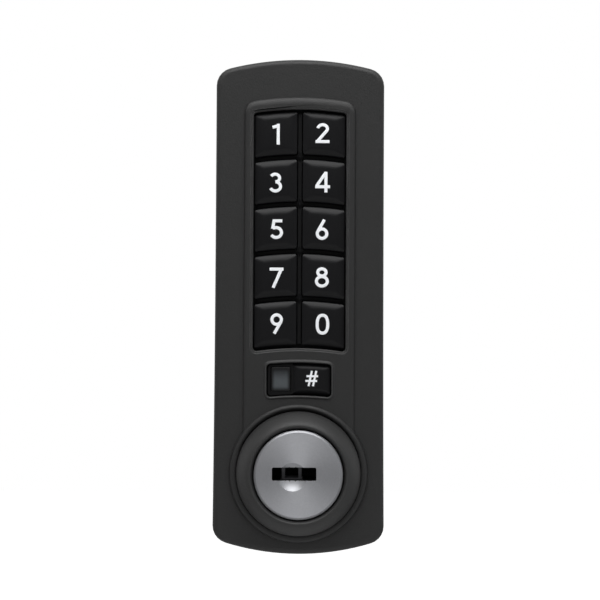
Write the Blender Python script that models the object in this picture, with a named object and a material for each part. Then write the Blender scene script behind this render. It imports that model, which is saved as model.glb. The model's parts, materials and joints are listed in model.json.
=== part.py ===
"""An electronic cabinet lock: a keypad and a signal light over a knob with a key cylinder in it.

The door's face is the plane y = 0 and the lock's front looks along -Y, with +Z up. Sizes are in metres.
The barrel and the cam stand behind the door, on the +Y side.
"""

import math

import bmesh
import bpy
from mathutils import Matrix

for leftover in list(bpy.data.objects):
    bpy.data.objects.remove(leftover)

# Fits and facets that all pieces share
GAP = 0.0003
OVERRUN = 0.002
EMBED = 0.0008
MERGE = 0.000001
ARCH_STEPS = 18
CORNER_STEPS = 5
FILLET_STEPS = 5
SIDE_STEPS = 8
KEY_ARCH_STEPS = 3
KEY_CORNER_STEPS = 1
DOME_STEPS = 8
FINE_STEPS = 72
ROUND_STEPS = 24
SMALL_STEPS = 12
SMOOTH_ANGLE = math.radians(32)
QUARTER_TURN = math.radians(90)

# The arch that the top of the case, the windows and the keys follow, and the rounder one at its foot
ARCH_RADIUS = 0.073
FOOT_RADIUS = 0.061

# Number keys
KEY_WIDTH = 0.0104
KEY_HEIGHT = 0.01065
KEY_COLUMN_GAP = 0.0015
KEY_ROW_GAP = 0.00135
KEY_EDGE_GAP = 0.0006
KEY_CORNER = 0.0005
KEY_BEVEL = 0.00105
KEY_BEVEL_DEPTH = 0.0009
KEY_DISH = 0.00012
KEY_DISH_WIDTH = 0.0018
KEY_SINK = 0.0004
KEY_TRAVEL = 0.0008
KEY_FLANGE = 0.0008
KEY_FLANGE_LIP = 0.0005
KEY_NAMES = (
    ("key_1", "key_2"),
    ("key_3", "key_4"),
    ("key_5", "key_6"),
    ("key_7", "key_8"),
    ("key_9", "key_0"),
)

# Keypad insert, rubber mat and circuit board
FRAME_FLANGE = 0.0012
FRAME_LIP = 0.0009
GRID_SINK = 0.0022
GRID_INSET = 0.0005
RIB_SINK = 0.001
RIB_SHARE = 0.6
DOME_HEIGHT = 0.0009
DOME_RADIUS = 0.003
DOME_TOP_RADIUS = 0.0022
MAT_THICKNESS = 0.0006
BOARD_THICKNESS = 0.0016
BOARD_CLEARANCE = 0.002
BOARD_BELOW_WINDOW = 0.0014

# Cells and their holder
CELL_RADIUS = 0.00525
CELL_LENGTH = 0.0433
CELL_NUB_RADIUS = 0.0019
CELL_NUB_HEIGHT = 0.0012
CELL_SPACING = 0.0003
HOLDER_WALL = 0.0007
HOLDER_SIDE = 0.0008
HOLDER_END = 0.001
HOLDER_DEPTH = 0.0085
CONTACT_SHEET = 0.0004
CONTACT_WIDTH = 0.008
CONTACT_HEIGHT = 0.0076
CONTACT_BUMP = 0.0009
CONTACT_BUMP_RADIUS = 0.0024

# Case
FRONT_WALL = 0.002
SIDE_WALL = 0.002
FRONT_FILLET = 0.0014
HOUSING_CORNER = 0.0046
TOP_MARGIN = 0.00975
SIDE_MARGIN = 0.0072
SIDE_FLARE = 0.00045
FLARE_POWER = 3
BOTTOM_MARGIN = 0.0029
RIM_SIDE = 0.0024
RIM_TOP = 0.0031
PANEL_RAISE = 0.0008
PANEL_SLOPE = 0.0011
PANEL_CORNER = 0.003
WINDOW_CORNER = 0.0009
WINDOW_CHAMFER = 0.00025
LIP_WIDTH = 0.0007
LIP_DROP = 0.00015
PLATE_THICKNESS = 0.0015
PLATE_REBATE = 0.001
GASKET_THICKNESS = 0.001
GASKET_INSET = 0.0004

# Lower window with the hash key and the signal light
HASH_WIDTH = 0.0164
HASH_HEIGHT = 0.0083
HASH_CORNER = 0.001
HASH_GAP = 0.0037
HASH_RIM = 0.0008
HASH_RIM_RAISE = 0.00035
HASH_SPLIT_SHARE = 0.44
HASH_BEVEL = 0.0006
HASH_BEVEL_DEPTH = 0.0004
LENS_WIDTH = 0.0046
LENS_HEIGHT = 0.0057
LENS_CORNER = 0.0004
LENS_THICKNESS = 0.002
LENS_SINK = 0.0003
LED_WIDTH = 0.003
LED_HEIGHT = 0.002
LED_THICKNESS = 0.0012

# Knob, its sleeve and the lock disc
KNOB_LIP = 0.0032
KNOB_PROUD = 0.0078
KNOB_GAP = 0.00035
KNOB_SEAT = 0.0006
COLLAR_BEAD = 0.00145
COLLAR_RAISE = 0.0014
COLLAR_GAP = 0.0021
SLEEVE_WALL = 0.002
SLEEVE_LIP = 0.0021
SLEEVE_LIP_LENGTH = 0.0036
BEARING_WALL = 0.0021
DISC_WEB = 0.0007
DISC_CHEEK = 0.0004
DISC_CLEARANCE = 0.001
CLIP_THICKNESS = 0.0008
CLIP_DEPTH = 0.0006
CLIP_WIDTH = 0.0018
CLIP_SHOULDER = 0.0006
CLIP_OPENING = 0.009

# Solenoid and plunger
PLUNGER_RADIUS = 0.002
PLUNGER_LENGTH = 0.014
PLUNGER_TRAVEL = 0.003
PLUNGER_REST_GAP = 0.0005
PLUNGER_STICKOUT = 0.0022
SOLENOID_HEIGHT = 0.0165
SOLENOID_SHEET = 0.0012
SOLENOID_SIDE = 0.001
COIL_CLEARANCE = 0.0005

# Key cylinder
FACE_THICKNESS = 0.0028
FACE_SINK = 0.001
FACE_CHAMFER = 0.0005
FACE_SEAT_SHARE = 0.25
CORE_WALL = 0.0004
SHELL_WALL = 0.003
SPINDLE_RADIUS = 0.005
SQUARE_SHARE = 1.4
KEYWAY_WIDTH = 0.0111
KEYWAY_HEIGHT = 0.0033
KEYWAY_SHIFT = -0.00105
KEYWAY_RISE = 0.00025
KEYWAY_DEPTH = 0.018
SCOOP_RADIUS = 0.0053
SCOOP_DEPTH = 0.0014
SCOOP_SHIFT = -0.00145
SCOOP_DROP = 0.0005
TUMBLERS = 4
TUMBLER_WIDTH_SHARE = 0.71
TUMBLER_HEIGHT_SHARE = 1.43
TUMBLER_SHIFT_SHARE = -0.24
TUMBLER_WINDOW_SHARES = (0.68, 0.76)
TUMBLER_THICKNESS = 0.001
TUMBLER_PITCH = 0.003
TUMBLER_START = 0.0022

# Barrel and what clamps the door
DOOR_THICKNESS = 0.018
BARREL_WALL = 0.0042
BARREL_FLAT_CUT = 0.0015
BARREL_FLANGE = 0.0012
BARREL_FLANGE_LIP = 0.005
BARREL_CHAMFER = 0.0006
BARREL_PAST_NUT = 0.001
BARREL_WASHER_LIP = 0.004
BARREL_WASHER_THICKNESS = 0.0012
BARREL_NUT_WALL = 0.0025
BARREL_NUT_THICKNESS = 0.0042
NUT_CHAMFER = 0.0006

# Cam
CAM_LENGTH = 0.036
CAM_HALF_WIDTH = 0.008
CAM_THICKNESS = 0.0025
CAM_CORNER = 0.003
CAM_REST_TURN = -QUARTER_TURN
CAM_WASHER_RADIUS = 0.0062
CAM_WASHER_THICKNESS = 0.0009
CAM_SCREW_RADIUS = 0.0022
CAM_SCREW_LENGTH = 0.012
CAM_SCREW_HEAD_RADIUS = 0.0048
CAM_SCREW_HEAD_HEIGHT = 0.003
CAM_SCREW_SOCKET = 0.002

# Screws
CASE_SCREW_RADIUS = 0.00125
CASE_SCREW_HEAD_RADIUS = 0.0023
CASE_SCREW_LENGTH = 0.008
CASE_BOSS_RADIUS = 0.0029
CASE_BOSS_CLEARANCE = 0.0013
BOARD_SCREW_RADIUS = 0.001
BOARD_SCREW_HEAD_RADIUS = 0.0019
BOARD_SCREW_HEAD_HEIGHT = 0.001
BOARD_SCREW_LENGTH = 0.0058
BOARD_BOSS_RADIUS = 0.0022
BOARD_SCREW_FROM_SIDE = 0.0023
BOARD_SCREW_FROM_END = 0.0035
FIX_BOLT_RADIUS = 0.002
FIX_BOLT_HEAD_RADIUS = 0.0039
FIX_BOLT_HEAD_HEIGHT = 0.0026
FIX_BOLT_SOCKET = 0.0015
FIX_BOLT_GRIP = 0.011
FIX_BOSS_RADIUS = 0.0034
FIX_WASHER_RADIUS = 0.006
FIX_WASHER_THICKNESS = 0.001

# Board parts
CHIP_WIDTH = 0.007
CHIP_THICKNESS = 0.0012
BUZZER_RADIUS = 0.0042
BUZZER_HEIGHT = 0.0028
BUZZER_HOLE_RADIUS = 0.0008
BOARD_PART_GAP = 0.0012
BOARD_PART_RISE = 0.0105

# Radii about the knob's axis, worked out from the keyway outwards
CORE_RADIUS = KEYWAY_WIDTH / 2 - KEYWAY_SHIFT + CORE_WALL
SHELL_RADIUS = CORE_RADIUS + GAP + SHELL_WALL
SLEEVE_BORE = SHELL_RADIUS + GAP
SLEEVE_RADIUS = SLEEVE_BORE + SLEEVE_WALL
FACE_RADIUS = SLEEVE_BORE + SLEEVE_WALL * FACE_SEAT_SHARE
KNOB_RADIUS = SLEEVE_RADIUS + KNOB_LIP
BEARING_BORE = SLEEVE_RADIUS + GAP
BEARING_RADIUS = BEARING_BORE + BEARING_WALL
DISC_RADIUS = BEARING_BORE + DISC_WEB + PLUNGER_TRAVEL
DISC_THICKNESS = 2 * (PLUNGER_RADIUS + GAP + DISC_CHEEK)
BARREL_RADIUS = SPINDLE_RADIUS + GAP + BARREL_WALL
BARREL_FLAT = BARREL_RADIUS - BARREL_FLAT_CUT
SQUARE_WIDTH = SPINDLE_RADIUS * SQUARE_SHARE
TUMBLER_WIDTH = CORE_RADIUS * TUMBLER_WIDTH_SHARE
TUMBLER_HEIGHT = CORE_RADIUS * TUMBLER_HEIGHT_SHARE
TUMBLER_SHIFT = CORE_RADIUS * TUMBLER_SHIFT_SHARE

# Widths and heights of the front, worked out from the keys outwards
KEY_PITCH = KEY_HEIGHT + KEY_ROW_GAP
WINDOW_HALF = KEY_COLUMN_GAP / 2 + KEY_WIDTH + KEY_EDGE_GAP
WINDOW_HEIGHT = KEY_EDGE_GAP + len(KEY_NAMES) * KEY_PITCH
PANEL_HALF = WINDOW_HALF + RIM_SIDE
HOUSING_HALF = max(PANEL_HALF + SIDE_MARGIN, DISC_RADIUS + DISC_CLEARANCE + SIDE_WALL)
INNER_HALF = HOUSING_HALF - SIDE_WALL
RECESS_RADIUS = KNOB_RADIUS + KNOB_GAP
COLLAR_RADIUS = RECESS_RADIUS + COLLAR_BEAD
KEYPAD_ZONE = TOP_MARGIN + RIM_TOP + WINDOW_HEIGHT + HASH_GAP + HASH_HEIGHT
HOUSING_HEIGHT = KEYPAD_ZONE + COLLAR_GAP + 2 * COLLAR_RADIUS + BOTTOM_MARGIN
TOP_Z = HOUSING_HEIGHT / 2
BOTTOM_Z = -HOUSING_HEIGHT / 2
PANEL_TOP = TOP_Z - TOP_MARGIN
WINDOW_TOP = PANEL_TOP - RIM_TOP
WINDOW_BOTTOM = WINDOW_TOP - WINDOW_HEIGHT
HASH_TOP = WINDOW_BOTTOM - HASH_GAP
HASH_BOTTOM = HASH_TOP - HASH_HEIGHT
KNOB_Z = HASH_BOTTOM - COLLAR_GAP - COLLAR_RADIUS
BOARD_TOP = WINDOW_TOP + GAP
BOARD_BOTTOM = HASH_BOTTOM - BOARD_BELOW_WINDOW
BOARD_HALF = INNER_HALF - BOARD_CLEARANCE

# Depths, stacked forwards from the door to the face of the case
GASKET_FRONT = -GASKET_THICKNESS
PLATE_BACK = GASKET_FRONT - GAP
PLATE_FRONT = PLATE_BACK - PLATE_THICKNESS
CELL_Y = PLATE_FRONT - GAP - CELL_RADIUS
HOLDER_FLOOR = CELL_Y - CELL_RADIUS - GAP
HOLDER_FRONT = HOLDER_FLOOR - HOLDER_WALL
BOARD_BACK = HOLDER_FRONT - GAP
BOARD_FRONT = BOARD_BACK - BOARD_THICKNESS
MAT_BACK = BOARD_FRONT - GAP
MAT_FRONT = MAT_BACK - MAT_THICKNESS
DOME_FRONT = MAT_FRONT - DOME_HEIGHT
KEY_BACK = DOME_FRONT - GAP - KEY_TRAVEL
KEY_FLANGE_FRONT = KEY_BACK - KEY_FLANGE
FRAME_BACK = KEY_FLANGE_FRONT - GAP
FRAME_FRONT = FRAME_BACK - FRAME_FLANGE
WALL_IN = FRAME_FRONT - GAP
FACE_Y = WALL_IN - FRONT_WALL
PANEL_Y = FACE_Y - PANEL_RAISE
KEY_TOP_Y = PANEL_Y + KEY_SINK
GRID_Y = KEY_TOP_Y + GRID_SINK
RIB_Y = KEY_TOP_Y + RIB_SINK

# Depths on the knob's axis, stacked forwards from the back plate
BARREL_FLANGE_BACK = PLATE_FRONT - GAP
BARREL_FLANGE_FRONT = BARREL_FLANGE_BACK - BARREL_FLANGE
SLEEVE_END = BARREL_FLANGE_FRONT - GAP
CLIP_GROOVE_BACK = SLEEVE_END - CLIP_SHOULDER
CLIP_BACK = CLIP_GROOVE_BACK - GAP
CLIP_FRONT = CLIP_BACK - CLIP_THICKNESS
CLIP_GROOVE_FRONT = CLIP_FRONT - GAP
DISC_BACK = CLIP_GROOVE_FRONT
DISC_FRONT = DISC_BACK - DISC_THICKNESS
DISC_Y = (DISC_BACK + DISC_FRONT) / 2
BEARING_END = DISC_FRONT - GAP
RECESS_FLOOR = FACE_Y + KNOB_SEAT
KNOB_BACK = RECESS_FLOOR - GAP
CROWN_Y = FACE_Y - KNOB_PROUD
FACE_FRONT = CROWN_Y + FACE_SINK
FACE_BACK = FACE_FRONT + FACE_THICKNESS
STEP_Y = FACE_BACK + 2 * GAP
LIP_Y = SLEEVE_END - SLEEVE_LIP_LENGTH
SHELL_FRONT = FACE_BACK + GAP
SHELL_BACK = LIP_Y - GAP

# Depths behind the door
WASHER_FRONT = DOOR_THICKNESS
WASHER_BACK = WASHER_FRONT + BARREL_WASHER_THICKNESS
NUT_FRONT = WASHER_BACK + GAP
NUT_BACK = NUT_FRONT + BARREL_NUT_THICKNESS
BARREL_END = NUT_BACK + BARREL_PAST_NUT
SPINDLE_END = BARREL_END + GAP
CAM_FRONT = SPINDLE_END + GAP
CAM_BACK = CAM_FRONT + CAM_THICKNESS
CAM_WASHER_FRONT = CAM_BACK + GAP
CAM_WASHER_BACK = CAM_WASHER_FRONT + CAM_WASHER_THICKNESS
CAM_HEAD_FRONT = CAM_WASHER_BACK + GAP
FIX_HEAD_FRONT = DOOR_THICKNESS + FIX_WASHER_THICKNESS + GAP

# Places of the cells, the solenoid and the screws
SOLENOID_HALF_DEPTH = min(DISC_Y - BOARD_BACK, PLATE_FRONT - DISC_Y) - GAP
COIL_RADIUS = SOLENOID_HALF_DEPTH - COIL_CLEARANCE
SOLENOID_WIDTH = 2 * (COIL_RADIUS + SOLENOID_SIDE + SOLENOID_SHEET)
BOARD_PART_X = SOLENOID_WIDTH / 2 + BOARD_PART_GAP + BUZZER_RADIUS
SOLENOID_BOTTOM = KNOB_Z + DISC_RADIUS + PLUNGER_REST_GAP + PLUNGER_STICKOUT
SOLENOID_TOP = SOLENOID_BOTTOM + SOLENOID_HEIGHT
PLUNGER_TIP = KNOB_Z + DISC_RADIUS + PLUNGER_REST_GAP
CELL_X = CELL_RADIUS + CELL_SPACING / 2
CONTACT_SPACE = CONTACT_SHEET + CONTACT_BUMP + 2 * GAP
HOLDER_HALF = CELL_X + CELL_RADIUS + GAP + HOLDER_SIDE
HOLDER_BOTTOM = SOLENOID_TOP + 2 * GAP
CELLS_BOTTOM = HOLDER_BOTTOM + HOLDER_END + CONTACT_SPACE
CELLS_TOP = CELLS_BOTTOM + CELL_LENGTH + CELL_NUB_HEIGHT
HOLDER_TOP = CELLS_TOP + CONTACT_SPACE + HOLDER_END
FIX_Z = (BOARD_TOP + TOP_Z - SIDE_WALL) / 2
CASE_SCREW_X = INNER_HALF - CASE_BOSS_RADIUS + GAP
CASE_SCREW_TOP = BOARD_TOP + CASE_BOSS_RADIUS + 2 * GAP
CASE_SCREW_REACH = max(CASE_SCREW_X, DISC_RADIUS + CASE_BOSS_CLEARANCE + CASE_BOSS_RADIUS)
CASE_SCREW_BOTTOM = KNOB_Z - math.sqrt(CASE_SCREW_REACH**2 - CASE_SCREW_X**2)
CASE_SCREW_ENDS = (CASE_SCREW_TOP, CASE_SCREW_BOTTOM)
CASE_SCREW_PLACES = [(x, z) for z in CASE_SCREW_ENDS for x in (-CASE_SCREW_X, CASE_SCREW_X)]
BOARD_SCREW_X = BOARD_HALF - BOARD_SCREW_FROM_SIDE
BOARD_SCREW_ENDS = (BOARD_TOP - BOARD_SCREW_FROM_END, BOARD_BOTTOM + BOARD_SCREW_FROM_END)
BOARD_SCREW_PLACES = [(x, z) for z in BOARD_SCREW_ENDS for x in (-BOARD_SCREW_X, BOARD_SCREW_X)]
HASH_HALF = HASH_WIDTH / 2
HASH_SPLIT = -HASH_HALF + HASH_WIDTH * HASH_SPLIT_SHARE
BEZEL_X = (HASH_SPLIT - HASH_HALF) / 2
HASH_KEY_X = (HASH_SPLIT + HASH_HALF) / 2
HASH_Z = (HASH_TOP + HASH_BOTTOM) / 2

# Outlines: lists of (x, z) points, run anticlockwise as seen from the front


def arc_points(centre_x, centre_z, radius, start, end, steps):
    """Points on an arc, both ends included."""
    turns = [start + (end - start) * step / steps for step in range(steps + 1)]
    return [(centre_x + radius * math.cos(turn), centre_z + radius * math.sin(turn)) for turn in turns]


def circle(radius, steps):
    """A round outline about the origin."""
    return arc_points(0, 0, radius, 0, 2 * math.pi, steps)[:-1]


def arched(left, right, top, bottom, corner, inset=0.0, foot_radius=None, steps=(ARCH_STEPS, CORNER_STEPS)):
    """An upright shape with arcs about x = 0, drawn in by the inset.

    Its bottom rises to the middle as its top does, unless a foot radius makes it bulge downwards.
    """
    arch_steps, corner_steps = steps
    bottom_up = foot_radius is None
    low_arch = ARCH_RADIUS if bottom_up else foot_radius
    left, right = left + inset, right - inset
    corner = max(corner - inset, GAP)
    top_centre, top_radius = top - ARCH_RADIUS, ARCH_RADIUS - inset
    sign = 1 if bottom_up else -1
    low_centre, low_radius = bottom - sign * low_arch, low_arch + sign * inset
    points = []
    high_turns = []
    for x in (right - corner, left + corner):
        z = top_centre + math.sqrt((top_radius - corner) ** 2 - x**2)
        turn = math.atan2(z - top_centre, x)
        ends = (0, turn) if x > left + corner else (turn, math.pi)
        high_turns.append((turn, arc_points(x, z, corner, *ends, corner_steps)))
    points += high_turns[0][1]
    points += arc_points(0, top_centre, top_radius, high_turns[0][0], high_turns[1][0], arch_steps)[1:-1]
    points += high_turns[1][1]
    low_turns = []
    for x in (left + corner, right - corner):
        z = low_centre + sign * math.sqrt((low_radius + sign * corner) ** 2 - x**2)
        turn = math.atan2(z - low_centre, x) % (2 * math.pi)
        meets = (turn + math.pi if bottom_up else turn) % (2 * math.pi)
        ends = (math.pi, meets) if x < right - corner else (meets, 2 * math.pi)
        low_turns.append((turn, arc_points(x, z, corner, *ends, corner_steps)))
    points += low_turns[0][1]
    points += arc_points(0, low_centre, low_radius, low_turns[0][0], low_turns[1][0], arch_steps)[1:-1]
    points += low_turns[1][1]
    return points


def rounded_box(width, height, corner, inset=0.0):
    """A rectangle about the origin with round corners, drawn in by the inset."""
    half_x, half_z = width / 2 - inset, height / 2 - inset
    corner = max(corner - inset, GAP)
    points = []
    for index, (side_x, side_z) in enumerate(((1, 1), (-1, 1), (-1, -1), (1, -1))):
        start = index * QUARTER_TURN
        centre_x, centre_z = side_x * (half_x - corner), side_z * (half_z - corner)
        points += arc_points(centre_x, centre_z, corner, start, start + QUARTER_TURN, CORNER_STEPS)
    return points


def double_d(grow=0.0):
    """The barrel's section: round above and below, flat on both sides."""
    radius, flat = BARREL_RADIUS + grow, BARREL_FLAT + grow
    corner = math.acos(flat / radius)
    half = ROUND_STEPS // 2 - 1
    upper = arc_points(0, 0, radius, corner, math.pi - corner, half)
    lower = arc_points(0, 0, radius, math.pi + corner, 2 * math.pi - corner, half)
    return upper + lower


def hexagon(across, inset=0.0):
    """A hexagon with a corner up, from its width across flats."""
    radius = (across / 2 - inset) / math.cos(math.pi / 6)
    return arc_points(0, 0, radius, math.pi / 6, math.pi / 6 + 2 * math.pi, 6)[:-1]


def cam_outline(inset=0.0):
    """A bar that is round about the spindle and square at its far end, drawn along +X."""
    hub = CAM_HALF_WIDTH - inset
    corner = CAM_CORNER - inset
    tip_x = CAM_LENGTH - CAM_CORNER
    points = arc_points(0, 0, hub, QUARTER_TURN, 3 * QUARTER_TURN, SMALL_STEPS)
    points += arc_points(tip_x, corner - hub, corner, -QUARTER_TURN, 0, CORNER_STEPS)
    points += arc_points(tip_x, hub - corner, corner, 0, QUARTER_TURN, CORNER_STEPS)
    return points


def split_sides(points):
    """An outline whose two long sides are split into short lengths."""
    result = []
    for (x, z), (next_x, next_z) in zip(points, points[1:] + points[:1]):
        parts = SIDE_STEPS if abs(next_z - z) > HOUSING_HEIGHT / 2 else 1
        shares = [part / parts for part in range(parts)]
        result += [(x + (next_x - x) * share, z + (next_z - z) * share) for share in shares]
    return result


def housing_outline(inset=0.0):
    """The case's outline: its outside spreads a little towards the bottom, and its cavity stays straight."""
    points = arched(-HOUSING_HALF, HOUSING_HALF, TOP_Z, BOTTOM_Z, HOUSING_CORNER, inset, FOOT_RADIUS)
    spread = SIDE_FLARE / HOUSING_HALF * (1 - inset / SIDE_WALL)
    return [
        (x * (1 + spread * ((TOP_Z - z) / HOUSING_HEIGHT) ** FLARE_POWER), z) for x, z in split_sides(points)
    ]


def window_outline(inset=0.0):
    return arched(-WINDOW_HALF, WINDOW_HALF, WINDOW_TOP, WINDOW_BOTTOM, WINDOW_CORNER, inset)


def hash_outline(inset=0.0):
    return arched(-HASH_HALF, HASH_HALF, HASH_TOP, HASH_BOTTOM, HASH_CORNER, inset)


def panel_outline(inset=0.0):
    """The raised panel, which runs down under the knob's collar."""
    return split_sides(arched(-PANEL_HALF, PANEL_HALF, PANEL_TOP, KNOB_Z, PANEL_CORNER, inset))


def key_outline(edges, inset=0.0, corner=KEY_CORNER):
    """A key or its opening, with few facets because there are many of them."""
    return arched(*edges, corner, inset, steps=(KEY_ARCH_STEPS, KEY_CORNER_STEPS))


def key_edges(row, column):
    """Left, right, top and bottom of one number key."""
    left = KEY_COLUMN_GAP / 2 if column else -KEY_COLUMN_GAP / 2 - KEY_WIDTH
    top = WINDOW_TOP - KEY_EDGE_GAP - row * KEY_PITCH
    return left, left + KEY_WIDTH, top, top - KEY_HEIGHT


def key_centre(row, column):
    """The middle of a number key, on its arch."""
    left, right, top, bottom = key_edges(row, column)
    middle = (left + right) / 2
    drop = ARCH_RADIUS - math.sqrt(ARCH_RADIUS**2 - middle**2)
    return middle, (top + bottom) / 2 - drop


# Shapes: each function returns a bmesh


def outward(bm):
    """Points every face of a closed shape outwards."""
    bmesh.ops.recalc_face_normals(bm, faces=bm.faces)
    if bm.calc_volume(signed=True) < 0:
        bmesh.ops.reverse_faces(bm, faces=bm.faces)
    return bm


def loft(sections):
    """A closed shape through outlines, each given with its depth y."""
    bm = bmesh.new()
    rings = [[bm.verts.new((x, y, z)) for x, z in points] for points, y in sections]
    for near, far in zip(rings, rings[1:]):
        for index in range(len(near)):
            bm.faces.new((near[index - 1], near[index], far[index], far[index - 1]))
    bmesh.ops.triangulate(bm, faces=bm.faces)
    for ring in (rings[0], rings[-1]):
        bm.faces.new(ring)
    return outward(bm)


def lathe(profile, steps, closed=False):
    """A shape turned about the Y axis from (radius, y) points."""
    bm = bmesh.new()
    verts = [bm.verts.new((radius, y, 0)) for radius, y in profile]
    edges = [bm.edges.new(pair) for pair in zip(verts, verts[1:])]
    if closed:
        edges.append(bm.edges.new((verts[-1], verts[0])))
    bmesh.ops.spin(
        bm, geom=verts + edges, cent=(0, 0, 0), axis=(0, 1, 0), angle=2 * math.pi, steps=steps, use_merge=True
    )
    bmesh.ops.remove_doubles(bm, verts=bm.verts, dist=MERGE)
    return outward(bm)


def rod(radius, y_front, y_back, steps=SMALL_STEPS):
    """A round bar along Y."""
    return lathe([(0, y_front), (radius, y_front), (radius, y_back), (0, y_back)], steps)


def tube(outer, inner, y_front, y_back, steps=ROUND_STEPS):
    """A round tube along Y."""
    return lathe([(inner, y_front), (outer, y_front), (outer, y_back), (inner, y_back)], steps, closed=True)


def block(x_span, y_span, z_span):
    """A box between pairs of limits."""
    bm = bmesh.new()
    bmesh.ops.create_cube(bm, size=1)
    spans = (x_span, y_span, z_span)
    bmesh.ops.scale(bm, vec=[span[1] - span[0] for span in spans], verts=bm.verts)
    bmesh.ops.translate(bm, vec=[(span[0] + span[1]) / 2 for span in spans], verts=bm.verts)
    return bm


def moved(bm, x=0.0, y=0.0, z=0.0):
    bmesh.ops.translate(bm, vec=(x, y, z), verts=bm.verts)
    return bm


def upright(bm):
    """Turns a shape from the Y axis to the Z axis, its front down."""
    bmesh.ops.rotate(bm, cent=(0, 0, 0), matrix=Matrix.Rotation(QUARTER_TURN, 3, "X"), verts=bm.verts)
    return bm


def together(shapes):
    """One bmesh that holds all the shapes."""
    result = bmesh.new()
    for shape in shapes:
        mesh = bpy.data.meshes.new("shape")
        shape.to_mesh(mesh)
        shape.free()
        result.from_mesh(mesh)
        bpy.data.meshes.remove(mesh)
    return result


# Objects


def paint(name, colour, roughness, metallic=0.0):
    material = bpy.data.materials.new(name)
    material.use_nodes = True
    shader = material.node_tree.nodes["Principled BSDF"]
    shader.inputs["Base Color"].default_value = (*colour, 1)
    shader.inputs["Roughness"].default_value = roughness
    shader.inputs["Metallic"].default_value = metallic
    return material


CHARCOAL = paint("charcoal_paint", (0.03, 0.03, 0.03), 0.55)
BLACK_PLASTIC = paint("black_plastic", (0.011, 0.012, 0.013), 0.35)
SMOKY = paint("smoky_lens", (0.05, 0.055, 0.06), 0.2)
RUBBER = paint("grey_rubber", (0.06, 0.06, 0.06), 0.8)
BOARD_GREEN = paint("board_green", (0.01, 0.12, 0.05), 0.4)
CHIP_BLACK = paint("chip_black", (0.02, 0.02, 0.02), 0.5)
NICKEL = paint("satin_nickel", (0.42, 0.42, 0.43), 0.35, 1.0)
ZINC = paint("zinc_plate", (0.55, 0.55, 0.56), 0.4, 1.0)
BRASS = paint("brass", (0.6, 0.42, 0.15), 0.35, 1.0)
COPPER = paint("copper_winding", (0.5, 0.2, 0.08), 0.4, 1.0)
CELL_WRAP = paint("cell_wrap", (0.05, 0.09, 0.2), 0.4)


def add_object(name, bm):
    mesh = bpy.data.meshes.new(name)
    bm.to_mesh(mesh)
    bm.free()
    item = bpy.data.objects.new(name, mesh)
    bpy.context.scene.collection.objects.link(item)
    return item


def piece(name, bm, material, parent=None):
    """A named piece of the lock, shaded smooth across its shallow edges."""
    item = add_object(name, bm)
    item.data.materials.append(material)
    item.data.shade_smooth()
    item.data.set_sharp_from_angle(angle=SMOOTH_ANGLE)
    item.parent = parent
    return item


def shape_with(item, operation, bm, title):
    """Joins a shape to a piece, or cuts it out."""
    tool = add_object(f"{item.name}.{title}", bm)
    tool.parent = item
    tool.hide_render = True
    tool.display_type = "WIRE"
    change = item.modifiers.new(title, "BOOLEAN")
    change.operation = operation
    change.solver = "EXACT"
    change.object = tool


def join(item, bm, title):
    shape_with(item, "UNION", bm, title)


def cut(item, bm, title):
    shape_with(item, "DIFFERENCE", bm, title)


def axis_empty(name, z, parent=None):
    """An empty that marks a turning joint's axis and carries what moves on it."""
    empty = bpy.data.objects.new(name, None)
    empty.empty_display_size = KEY_WIDTH
    empty.location = (0, 0, z)
    empty.parent = parent
    bpy.context.scene.collection.objects.link(empty)
    return empty


# Case


def hash_rim_shape():
    """The low bead round the lower window."""
    return loft([
        (hash_outline(-HASH_RIM), PANEL_Y + EMBED),
        (hash_outline(-HASH_RIM), PANEL_Y),
        (hash_outline(-HASH_RIM * 2 / 3), PANEL_Y - HASH_RIM_RAISE * 3 / 4),
        (hash_outline(-HASH_RIM / 3), PANEL_Y - HASH_RIM_RAISE),
        (hash_outline(HASH_RIM / 3), PANEL_Y - HASH_RIM_RAISE),
    ])


def collar_shape():
    """The round-topped collar that the knob sits in."""
    inner = RECESS_RADIUS - KNOB_GAP
    middle, half = (COLLAR_RADIUS + inner) / 2, (COLLAR_RADIUS - inner) / 2
    crest = arc_points(middle, 0, 1, 0, math.pi, CORNER_STEPS + 2)
    profile = [(middle + (x - middle) * half, FACE_Y - z * COLLAR_RAISE) for x, z in crest]
    profile += [(inner, FACE_Y + EMBED), (COLLAR_RADIUS, FACE_Y + EMBED)]
    return moved(lathe(profile, FINE_STEPS, closed=True), z=KNOB_Z)


def housing_shell_shape():
    """The case as one skin: cavity, ledge for the back plate, rim, sides, front edge and raised panel."""
    ledge = PLATE_FRONT - GAP
    sections = [
        (housing_outline(SIDE_WALL), WALL_IN),
        (housing_outline(SIDE_WALL), ledge),
        (housing_outline(PLATE_REBATE), ledge),
        (housing_outline(PLATE_REBATE), PLATE_BACK),
        (housing_outline(), PLATE_BACK),
    ]
    turns = [QUARTER_TURN * step / FILLET_STEPS for step in range(FILLET_STEPS + 1)]
    for turn in turns:
        inset = FRONT_FILLET * (1 - math.cos(turn))
        sections.append((housing_outline(inset), FACE_Y + FRONT_FILLET * (1 - math.sin(turn))))
    for turn in turns:
        inset = PANEL_SLOPE * (1 - math.cos(turn))
        sections.append((panel_outline(inset), FACE_Y - PANEL_RAISE * math.sin(turn)))
    return loft(sections)


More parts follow.
